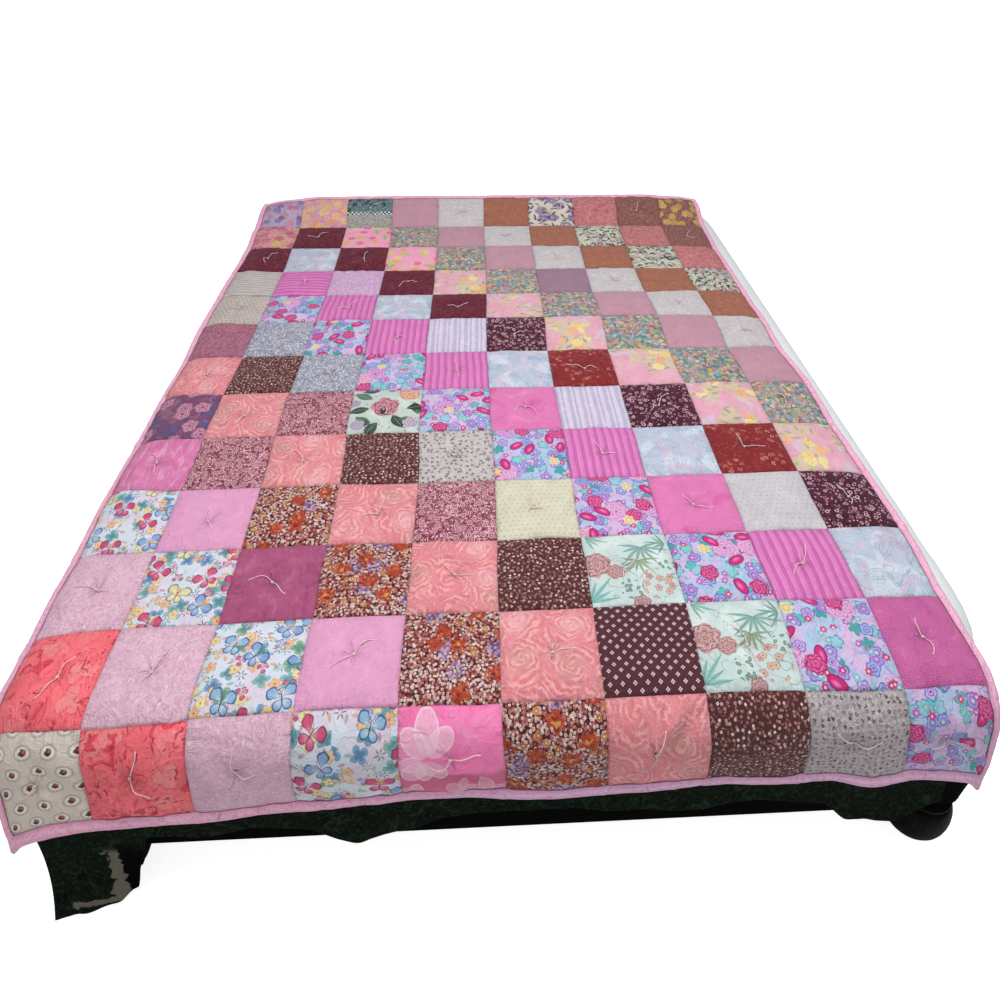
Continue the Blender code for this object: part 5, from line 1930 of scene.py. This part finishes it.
def butterflies(c):
    """Butterflies among small blossoms and leaf bunches on a cool pale ground."""
    c.ground("dee1ed")
    wash = c.noise(2.6, 2.0, 0.5, 0.5, 1.0)
    c.paint(c.over(wash, 0.56, 0.10), "e3d3e6", 0.75)
    c.paint(c.inside(wash, 0.42, 0.10), "d3e3ec", 0.75)
    sprig = c.scatter(5.6, 0.95, 5.0)
    want = c.over(sprig.c, 0.32, 0.01)
    for k in range(6):
        twig = c.at(sprig, 0.0, 0.0, 60 * k + 9)
        c.paint(c.both(want, c.leaf(twig, 0.15, 0.036, 0.02, dx=0.20, bow=1.5)), c.pick(sprig.b, "685874", "5a8f90", "709fae", "805274"), 0.85)
    tiny = c.scatter(9.5, 0.95, 25.0)
    c.paint(c.both(c.over(tiny.c, 0.48, 0.01), c.leaf(tiny, 0.38, 0.16)), c.pick(tiny.b, "d6ab78", "86aec0", "c4879f", "9db58a"), 0.78)
    bunch = c.ragged(c.scatter(4.3, 0.9, 9.0), 0.10, 18.0, 2.0)
    want = c.over(bunch.c, 0.30, 0.01)
    c.paint(c.both(want, c.petals(bunch, 4, 0.38, 0.50, soft=0.04, sharp=0.8)), c.pick(bunch.b, "6fa6ae", "79a98c", "6c9fc4", "83b6b6"), 0.88)
    c.paint(c.both(want, c.petals(bunch, 4, 0.22, 0.50, soft=0.06)), c.pick(bunch.b, "47808e", "568a70", "4a7cae", "5a9294"), 0.70)
    flower = c.scatter(4.9, 0.9, 12.0)
    want = c.over(flower.c, 0.30, 0.01)
    c.paint(c.both(want, c.petals(flower, 5, 0.32, 0.40, soft=0.04)), c.pick(flower.b, "cf9a60", "cc8d6c", "c8a868"), 0.80)
    c.paint(c.both(want, c.petals(flower, 5, 0.27, 0.40, soft=0.05)), c.pick(flower.b, "f0d29c", "edbc92", "efe0ac"), 0.95)
    c.paint(c.both(want, c.disk(flower, 0.05)), "a9713f", 0.85)
    little = c.scatter(3.7, 0.85, 31.0, turn=30)
    butterfly(c, c.at(little, grow=0.58), c.over(little.c, 0.32, 0.01), c.pick(little.b, "dc7c9f", "ecd09c", "d66c94", "8eacd4"), c.pick(little.b, "9c3c68", "ab834c", "94345e", "4a6ca4"), "f2c8d4")
    big = c.scatter(2.4, 0.5, 2.0, swing=1.9, turn=-50)
    butterfly(c, c.at(big, grow=0.84), c.over(big.c, 0.04, 0.01), c.pick(big.b, "da5c88", "9cc0e0", "ece2a8", "d45080", "8fb0dc"), c.pick(big.b, "943058", "33609c", "7a8474", "8c2a54", "38589a"), c.pick(big.b, "ee9ab4", "d0e2ea", "f6f0ce", "ea94b0", "bcd4ea"))


def cream_sprig(c):
    c.ground("dad6bf")
    m = c.grid(14.0, 14.0)
    c.paint(c.leaf(m, 0.20, 0.06, soft=0.05, dx=0.02), c.pick(m.a, "858768", "9c9478", "757c64"), 0.9)
    c.paint(c.both(c.over(m.b, 0.45, 0.01), c.disk(m, 0.10, 0.05)), c.pick(m.b, "b08378", "c49890"), 0.9)
    n = c.scatter(23.0, 0.9, 2.0)
    c.paint(c.both(c.over(n.c, 0.5, 0.01), c.disk(n, 0.13)), "bab294", 0.6)


def off_white_dots(c):
    c.ground("cdc9ce")
    c.mottle(3.0, "c2bec5", "d6d3d7", 0.6)
    m = c.grid(13.0, 13.0)
    c.paint(c.disk(m, 0.10, 0.06), c.pick(m.b, "8c8797", "a88c9c", "8f979f"), 0.85)
    n = c.scatter(24.0, 0.95, 3.0)
    c.paint(c.both(c.over(n.c, 0.5, 0.01), c.disk(n, 0.14, 0.08)), "b4b0b8", 0.7)


def calico(c):
    """Tiny pale and rosy flowers crowded on plum brown, with rust and lavender places."""
    c.ground("46222a")
    for scale, seed in ((24.0, 1.0), (29.0, 7.0)):
        m = c.scatter(scale, 0.95, seed)
        c.paint(c.petals(m, 5, 0.42, 0.38, soft=0.12), c.pick(m.b, "ecd4cd", "bf6f74", "e0b6ae", "96483c", "f0e0d8", "b45c46", "c88c8a"), 0.95)
        c.paint(c.disk(m, 0.12, 0.08), c.pick(m.c, "9c4030", "5f2838", "b97a40"), 0.9)
    gold = c.scatter(9.5, 0.9, 8.0)
    want = c.over(gold.c, 0.72, 0.01)
    c.paint(c.both(want, c.petals(gold, 7, 0.33, 0.25, soft=0.06)), c.pick(gold.b, "c08050", "d09c66"))
    c.paint(c.both(want, c.ring(gold, 0.17, 0.05)), "7c3a2c", 0.8)
    c.paint(c.both(want, c.disk(gold, 0.07)), "ecd0a8")
    speck = c.scatter(34.0, 1.0, 15.0)
    lilac = c.ragged(c.scatter(2.8, 0.85, 4.0), 0.50, 17.0, 2.0)
    full = c.both(c.over(lilac.c, 0.50, 0.01), c.disk(lilac, 0.25, 0.20))
    c.paint(c.both(full, c.over(speck.b, 0.30, 0.02)), c.pick(speck.c, "8470a4", "bba6cc", "5f4a7c"), 0.85)
    rust = c.ragged(c.scatter(3.1, 0.80, 6.0), 0.42, 19.0, 4.0)
    full = c.both(c.over(rust.c, 0.25, 0.01), c.disk(rust, 0.26, 0.10))
    c.paint(full, "a83c26", 0.95)
    c.paint(c.both(full, c.over(speck.a, 0.55, 0.02)), c.pick(speck.c, "c8623c", "7c241c", "b94c2c"), 0.85)
    c.paint(c.both(c.over(rust.c, 0.62, 0.01), c.disk(rust, 0.06, 0.04)), "d39a58", 0.85)


def pale_paisley(c):
    c.ground("e2b4c9")
    c.mottle(4.0, "daa2bd", "ebc4d7", 0.7)
    c.paint(c.vines(8.5, 0.034, distort=2.6, seed=1.0), "f4dce7", 0.75)
    c.paint(c.vines(14.0, 0.030, distort=2.2, seed=4.0), "f1d3e0", 0.65)
    c.paint(c.vines(11.0, 0.026, distort=2.6, seed=8.0), "c58aaa", 0.50)
    m = c.scatter(5.0, 0.85, 3.0)
    c.paint(c.both(c.ring(m, 0.30, 0.05), c.over(c.noise(9.0, 1.0, seed=7.0), 0.52, 0.06)), "c98bad", 0.45)
    c.paint(c.vines(21.0, 0.024, distort=1.0, seed=12.0), "c792ae", 0.40)


def bamboo(c):
    """Thin sage blades, dusty peonies, small blossoms and budded twigs on pale mint."""
    c.ground("c9dbd9")
    c.paint(c.over(c.noise(2.0, 2.0, 0.5, 0.4, 4.0), 0.56, 0.12), "dbe9e5", 0.9)
    c.paint(c.vines(2.2, 0.0045, seed=7, detail=2.0, distort=0.3), "8f9f98", 0.75)
    fan(c, c.spot(0.66, 0.78, 0.36, 160), 9, 230, 0.055, "8bb2a8", "64908a")
    fan(c, c.spot(0.60, 0.58, 0.26, 150), 8, 230, 0.060, "98a886", "70845f")
    fan(c, c.spot(0.96, 0.84, 0.26, 100), 5, 150, 0.060, "74a195", "54837a")
    fan(c, c.spot(-0.02, 0.06, 0.42, -5), 4, 85, 0.060, "8ac0b8", "629c94")
    fan(c, c.spot(0.04, 0.98, 0.30, 280), 4, 90, 0.060, "8fb8aa", "6c998c")
    for x, y, size in ((0.11, 0.55, 0.19), (0.32, 0.44, 0.12), (0.54, 0.02, 0.11)):
        s = c.ragged(c.spot(x, y, size, 20), 0.26, 15.0, x)
        c.rose(s, 0.95, 6, 2.8, "bd8f90", "845458", "d9b6b4", soft=0.06)
    s = c.scatter(8.5, 0.85, 3.0)
    near = c.inside(c.spot(0.76, 0.26, 0.20).r, 1.0, 0.1)
    c.paint(c.both(near, c.petals(s, 5, 0.40, 0.30, soft=0.06)), "b58680", 0.9)
    c.paint(c.both(near, c.petals(s, 5, 0.30, 0.30, soft=0.08)), c.pick(s.b, "dab2a2", "d0a09a", "e0c0a8"), 0.9)
    c.paint(c.both(near, c.disk(s, 0.09)), "96605a", 0.8)
    bud = c.scatter(13.0, 0.80, 8.0)
    near = c.either(c.inside(c.spot(0.46, 0.20, 0.13).r, 1.0, 0.1), c.inside(c.spot(0.92, 0.48, 0.12).r, 1.0, 0.1))
    c.paint(c.both(near, c.oval(bud, 0.36, 0.24, 0.05)), "55796c", 0.9)
    c.paint(c.both(near, c.oval(bud, 0.20, 0.12, 0.06)), "9dbba8", 0.8)


def red_leaves(c):
    """Torn patches of deeper red over coral pink, drawn over in scratchy line."""
    c.ground("ff747e")
    c.mottle(3.0, "f96c78", "ff9297", 0.8)
    m = c.ragged(c.scatter(3.2, 0.95, 4.0), 0.20, 15.0, 7.0)
    want = c.over(m.c, 0.25, 0.01)
    outer, core = c.petals(m, 3, 0.46, 0.60, soft=0.03, sharp=0.7), c.petals(m, 3, 0.42, 0.60, soft=0.03, sharp=0.7)
    c.paint(c.both(want, outer), "dc4a5c", 0.60)
    c.paint(c.both(want, core), c.pick(m.b, "fb8489", "f26d76", "f99292"), 0.9)
    n = c.noise(4.6, 4.0, 0.65, 1.4, 5.0)
    c.paint(c.over(n, 0.600, 0.02), "de384e", 0.85)
    c.paint(c.over(c.noise(8.5, 3.0, 0.6, 1.2, 11.0), 0.655, 0.02), "b42842", 0.85)
    line = c.noise(5.0, 3.0, 0.6, 2.2, 14.0)
    c.paint(c.inside(c.math("ABSOLUTE", c.sub(line, 0.5)), 0.009, 0.012), "cc4456", 0.65)
    c.paint(c.inside(c.math("ABSOLUTE", c.sub(line, 0.57)), 0.009, 0.012), "ffa8a6", 0.55)


def diamonds(c):
    """Four dots to a diamond, in staggered rows on plum."""
    c.ground("562c36")
    m = c.grid(8.0, 16.0)
    for dx, dy in ((0.105, 0.0), (-0.105, 0.0), (0.0, 0.105), (0.0, -0.105)):
        c.paint(c.disk(c.at(m, dx, dy), 0.062, 0.05), "ecd0cd")


def cameo(c):
    """Rows of off-white ovals with a dotted edge and a dark red fruit."""
    c.ground("e0d4c7")
    c.mottle(6.0, "d6cabc", "e8ddd2", 0.5)
    m = c.grid(3.4, 5.4, seed=0.37)
    scallop = c.inside(c.math("ABSOLUTE", c.math("SINE", c.mul(c.angle(m), 12.0))), 0.62, 0.3)
    rim = c.without(c.oval(m, 0.330, 0.235, 0.02), c.oval(m, 0.295, 0.203, 0.02))
    c.paint(c.oval(m, 0.330, 0.235, 0.03), "bdb8aa", 0.6)
    c.paint(c.both(rim, scallop), "7d786f", 0.8)
    c.paint(c.oval(m, 0.265, 0.175, 0.03), "f6efe7")
    inner = c.without(c.oval(m, 0.275, 0.185, 0.02), c.oval(m, 0.235, 0.150, 0.02))
    c.paint(c.both(inner, scallop), "a09a8f", 0.7)
    fruit = c.at(m, 0.0, 0.0, 28)
    c.paint(c.oval(fruit, 0.130, 0.100, 0.04), c.pick(m.a, "7c2c3c", "8c3444", "66242f"))
    c.paint(c.oval(fruit, 0.060, 0.045, 0.04, 0.045, 0.02), "c8707e", 0.85)
    c.paint(c.oval(fruit, 0.030, 0.055, 0.03, -0.04, -0.03, 30), "3f1620", 0.85)
    c.paint(c.oval(fruit, 0.060, 0.034, 0.03, -0.105, 0.050, 20), "3c4632", 0.95)
    c.paint(c.oval(fruit, 0.052, 0.030, 0.03, 0.01, 0.098, -30), "46503a", 0.95)


def translucent_flower(c):
    """Pale veined petals over bright pink, turning a darker rose towards the bottom of the square."""
    c.ground("ff86be")
    c.mottle(2.6, "f573b0", "ff9fce", 0.8)
    x, y = c.split(c.spot(0.0, 0.0, 1.0).v)
    low = c.inside(c.add(y, c.mad(c.noise(3.0, 2.0, 0.5, 0.4, 4.0), 0.16, -0.08)), 0.38, 0.12)
    # darker rose over the lower part of the square
    c.paint(low, "cf6a88", 0.78)
    for px, py, size, first, count, share in ((0.28, 0.62, 0.40, 40, 3, 0.50), (0.24, 0.56, 0.34, 195, 4, 0.42), (0.16, 0.02, 0.24, 20, 5, 0.40), (0.84, 0.00, 0.26, 30, 5, 0.34), (0.58, 0.10, 0.18, 80, 5, 0.30)):
        for k in range(count):
            s = c.spot(px, py, size * (0.85 + 0.15 * (k % 2)), first + (150 if count < 5 else 360) * k / count)
            shape, core = c.wing(s, 0.95, 0.30, 1.05, 0.03, blunt=True), c.wing(s, 0.90, 0.265, 1.05, 0.03, blunt=True)
            c.paint(shape, "f9d3e3", share)
            c.paint(c.without(shape, core), "fdebf3", share)
            veins = c.inside(c.math("ABSOLUTE", c.math("SINE", c.mul(c.math("ARCTAN2", s.y, s.x), 22.0))), 0.25, 0.3)
            c.paint(c.both(shape, veins), "fff0f6", 0.22)


MAKERS = dict(
    A=lavender_wash, B=pink_gold, C=teal_border, D=mauve, D2=purple_mauve, E=ecru, F=rust, G=cream_purple,
    H=rose_mottled, I=brown_mauve, IY=brown_mauve_gold, J=coral_garden, K=maroon, L=lime_leaf, M=paisley_mosaic,
    G2=scroll_leaf, N=line_leaves, O=taupe_stripe, PH=pink_stripe_across, Q=lilac_speckle, L2=rose_bouquet,
    R=beige_speck, S=lavender_garden, P=pink_stripe, W=mauve_print, X=grey_speckle, T=lilac_stripe, U=maroon_bloom,
    Y=coral_swirl, Z=brown_dots, V=brick_sprig, AA=plum_bloom, BB=burgundy_vine, CC=dusty_rose, DD=hot_pink,
    EE=pink_swirl, FF=grey_leaf, GG=butterflies, HH=pink_plain, II=calico, JJ=cream_sprig, KK=off_white_dots,
    LL=pale_paisley, MM=magenta_mauve, NN=bamboo, OO=red_leaves, PP=diamonds, QQ=cameo, RR=translucent_flower,
    DT=pink_pin_dots, FD=grey_dots,
)

LAYOUT = """
A  B  C  D  E  F  G  H  I  IY
J  K  L  M  D  E  F  G2 H  I
K  N  K  L  M  D  E  F  G2 H
O  PH Q  K  L2 M  D2 E  F  G2
R  S  P  N  K  L2 M  D  E  F
W  X  S  P  T  U  L2 M  D  E
Y  Z  X  S  P  N  V  L2 M  D
AA Y  BB CC S  DD T  U  L2 M
EE BB Y  Z  FF S  P  N  V  L2
GG HH II Y  BB JJ S  DD KK U
LL GG MM II Y  Z  NN S  P  N
OO LL GG HH II Y  PP NN S  DT
QQ OO LL GG RR II Y  Z  FD S
"""
FABRIC_OF = [line.split() for line in LAYOUT.strip().splitlines()]
FABRIC = {}
for code, maker in MAKERS.items():
    cloth = Cloth("fabric_" + maker.__name__)
    maker(cloth)
    FABRIC[code] = cloth.done(pieced=True)


# ------------------------------------------------------------------ the rest
def backing_cloth():
    c = Cloth("backing_cotton")
    plain(c, "e3b2c6", "d9a4ba", "ecc0d1")
    return c.done()


def binding_cloth():
    c = Cloth("binding_cotton")
    c.ground("f8b6d4")
    c.mottle(3.0, "eda6c9", "fcc6df", 0.6)
    x, y = c.split(c.coords(1.0))
    # lavender where the light binding ran out towards one corner
    far = c.both(c.over(x, 22.2, 2.0), c.inside(x, 29.0, 3.0))
    c.paint(far, "dbb3dc", 0.75)
    # the row of stitches that holds the binding to the face
    along_it = c.math("PINGPONG", c.mul(x, 60.0), 0.5)
    stitch = c.both(c.inside(c.math("ABSOLUTE", c.sub(y, 0.030)), 0.0035, 0.003), c.inside(along_it, 0.34, 0.06))
    c.paint(stitch, "c98aa6", 0.75)
    # it rolls up from the face: painted highlight along its crown and painted shade at its foot
    c.paint(c.inside(c.math("ABSOLUTE", c.sub(y, 0.085)), 0.020, 0.030), "ffcfe3", 0.55)
    c.paint(c.inside(y, 0.012, 0.014), "9a5c7c", 0.70)
    # painted shade in slanting wrinkle lines and in soft darker patches where the binding wrinkles
    wrinkle_line_shade = c.noise(1.0, 2.0, 0.55, 0.5, 6.0, stretch=(9.0, 7.0), turn=38)
    c.paint(c.inside(c.math("ABSOLUTE", c.sub(wrinkle_line_shade, 0.5)), 0.012, 0.016), "b8749a", 0.55)
    wrinkle_patch_shade = c.noise(1.0, 2.0, 0.6, 0.6, 2.0, stretch=(22.0, 30.0), turn=20)
    c.paint(c.inside(wrinkle_patch_shade, 0.42, 0.10), "dc96b6", 0.55)
    return c.done(rough=0.80)


def yarn_cloth():
    c = Cloth("yarn")
    c.ground("f6dde0")
    x, y = c.split(c.coords(1.0))
    ply = c.math("SINE", c.mad(x, 420.0, c.mul(y, 420.0)))
    c.paint(c.inside(ply, -0.3, 0.8), "e3bcc4", 0.6)
    material = c.done(rough=0.9, weave=0.3)
    return material


def sheet_cloth():
    c = Cloth("fitted_sheet")
    plain(c, "ecf3f5", "e0eaee", "f6fafb")
    return c.done(rough=0.88)


def green_cloth():
    """Dark green pile, crushed lighter and darker."""
    c = Cloth("dark_green_cloth")
    c.ground("141c14")
    c.mottle(5.0, "080c07", "293a29", 0.9, detail=5.0, distort=1.5)
    c.mottle(26.0, "080e0a", "2e4434", 0.7, seed=4, detail=4.0)
    # its pale torn lining beside the foot; past it, painted shade: a black patch for the deep fold in front of the
    # black foot
    x, z = c.split(c.coords(1.0))
    torn = c.mad(c.noise(7.0, 3.0, 0.6, 0.4, 3.0), 0.26, -0.13)
    past = c.both(c.over(c.add(x, c.mul(torn, 0.4)), -4.13, 0.02), c.both(c.inside(x, -3.80, 0.04), c.inside(z, 0.95, 0.25)))
    # painted shade: the black patch past the lining
    c.paint(past, "050506")
    side = c.both(c.inside(c.math("ABSOLUTE", c.add(c.add(x, 4.20), torn)), 0.065, 0.02), c.inside(z, 0.86, 0.10))
    foot = c.both(c.inside(c.math("ABSOLUTE", c.add(c.sub(z, 0.17), c.mul(torn, 0.3))), 0.028, 0.015), c.both(c.over(x, -4.72, 0.04), c.inside(x, -4.20, 0.03)))
    c.paint(c.either(side, foot), "7d7a6c", 0.80)
    return c.done(rough=0.95, sheen=0.0, weave=1.8, bump=2.0, specular=0.04)


def black_cover():
    """The black cloth that covers the bed's box."""
    c = Cloth("black_cover")
    c.ground("040405")
    c.mottle(4.0, "020203", "08080a", 0.8, detail=4.0)
    speck = c.noise(90.0, 2.0, 0.6, 0.0, 4.0)
    c.paint(c.over(speck, 0.62, 0.1), "0e0e11", 0.5)
    return c.done(rough=0.95, sheen=0.0, weave=1.2, specular=0.03)


def black_wood():
    """Black stain on turned wood, a little worn."""
    c = Cloth("black_stained_wood")
    c.ground("070707")
    grain = c.noise(1.0, 4.0, 0.6, 0.6, 2.0, stretch=(30.0, 4.0))
    c.paint(c.over(grain, 0.56, 0.10), "1a1718", 0.8)
    c.paint(c.over(c.noise(9.0, 4.0, 0.6, 0.0, 5.0), 0.66, 0.05), "171415", 0.5)
    material = c.done(rough=0.5, sheen=0.0, weave=0.3, bump=0.4)
    c.shader.inputs["Specular IOR Level"].default_value = 0.06
    return material


FABRIC["backing"] = backing_cloth()
FABRIC["binding"] = binding_cloth()
FABRIC["yarn"] = yarn_cloth()
FABRIC["sheet"] = sheet_cloth()
FABRIC["green"] = green_cloth()
FABRIC["black"] = black_cover()
FABRIC["foot"] = black_wood()


# ------------------------------------------------------------------ the whole
dice = random.Random(3)
SHIFT = {(r, c): (dice.randrange(0, 40) * 1.37, dice.randrange(0, 40) * 1.61) for r in range(ROWS) for c in range(COLUMNS)}
# prints drawn for their own square stay with it
for r in range(ROWS):
    for c in range(COLUMNS):
        if FABRIC_OF[r][c] in ("C", "CC", "RR", "NN", "QQ", "T", "P", "PH"):
            SHIFT[(r, c)] = (float((3 * r + c) % 7), float((r + 5 * c) % 5))
TAILS = {}

rows = [make_row(r, FABRIC_OF) for r in range(ROWS)]
ties = make_ties(FABRIC["yarn"])
binding = make_binding(FABRIC["binding"])
mattress = make_mattress(FABRIC["sheet"])
bed_box = make_frame(FABRIC["black"])
feet = [
    make_foot(f"bun_{side_name}_{end_name}", side, end, FABRIC["foot"] if "foot" in FABRIC else FABRIC["black"])
    for side_name, side in (("left", -1), ("right", 1))
    for end_name, end in (("end", -1), ("head", 1))
]
undercloth = make_undercloth(FABRIC["green"])

import bmesh

for thing in rows + [ties, binding, mattress, bed_box, undercloth] + feet:
    bm = bmesh.new()
    bm.from_mesh(thing.data)
    bmesh.ops.recalc_face_normals(bm, faces=bm.faces)
    if bm.calc_volume(signed=True) < 0:
        bmesh.ops.reverse_faces(bm, faces=bm.faces)
    bm.to_mesh(thing.data)
    bm.free()

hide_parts("quilt")
for row in rows[1:]:
    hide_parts("quilt")
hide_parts("binding")
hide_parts("mattress")
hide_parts("bed_frame")
for foot, node in zip(feet, ("foot_left_end", "foot_left_head", "foot_right_end", "foot_right_head")):
    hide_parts(node)
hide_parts("undercloth")

# ------------------------------------------------------------------ stage
floor_mesh = bpy.data.meshes.new("floor")
floor_mesh.from_pydata([(-40, -40, 0), (40, -40, 0), (40, 40, 0), (-40, 40, 0)], [], [(0, 1, 2, 3)])
floor = bpy.data.objects.new("floor", floor_mesh)
bpy.context.scene.collection.objects.link(floor)
floor_material = bpy.data.materials.new("floor")
floor_material.use_nodes = True
floor_shader = floor_material.node_tree.nodes["Principled BSDF"]
floor_shader.inputs["Base Color"].default_value = (0.97, 0.97, 0.97, 1)
floor_shader.inputs["Roughness"].default_value = 0.8
floor_shader.inputs["Specular IOR Level"].default_value = 0.1
floor_shader.inputs["Emission Color"].default_value = (1, 1, 1, 1)
# the floor looks white without throwing light up under the hem
seen = floor_material.node_tree.nodes.new("ShaderNodeLightPath")
glow = floor_material.node_tree.nodes.new("ShaderNodeMath")
glow.operation = "MULTIPLY"
glow.inputs[1].default_value = 0.85
floor_material.node_tree.links.new(seen.outputs["Is Camera Ray"], glow.inputs[0])
floor_material.node_tree.links.new(glow.outputs[0], floor_shader.inputs["Emission Strength"])
floor_mesh.materials.append(floor_material)

world = bpy.data.worlds.new("world")
bpy.context.scene.world = world
world.use_nodes = True
world.node_tree.nodes["Background"].inputs["Color"].default_value = (1.0, 0.99, 1.0, 1)
world.node_tree.nodes["Background"].inputs["Strength"].default_value = 0.34
bpy.context.scene.view_settings.view_transform = "Standard"


def softbox(name, place, look, size, power, colour=(1, 1, 1)):
    data = bpy.data.lights.new(name, "AREA")
    data.shape = "RECTANGLE"
    data.size, data.size_y = size
    data.energy = power
    data.color = colour
    lamp = bpy.data.objects.new(name, data)
    bpy.context.scene.collection.objects.link(lamp)
    lamp.location = place
    lamp.rotation_euler = (Vector(look) - Vector(place)).to_track_quat("-Z", "Y").to_euler()
    return lamp


softbox("overhead", (0.15, -0.55, 2.9), (0.05, -0.15, 0.4), (1.6, 1.6), 50.5)
softbox("fill", (0.2, -3.4, 2.0), (0.0, -0.9, 0.3), (2.4, 1.6), 4.5)
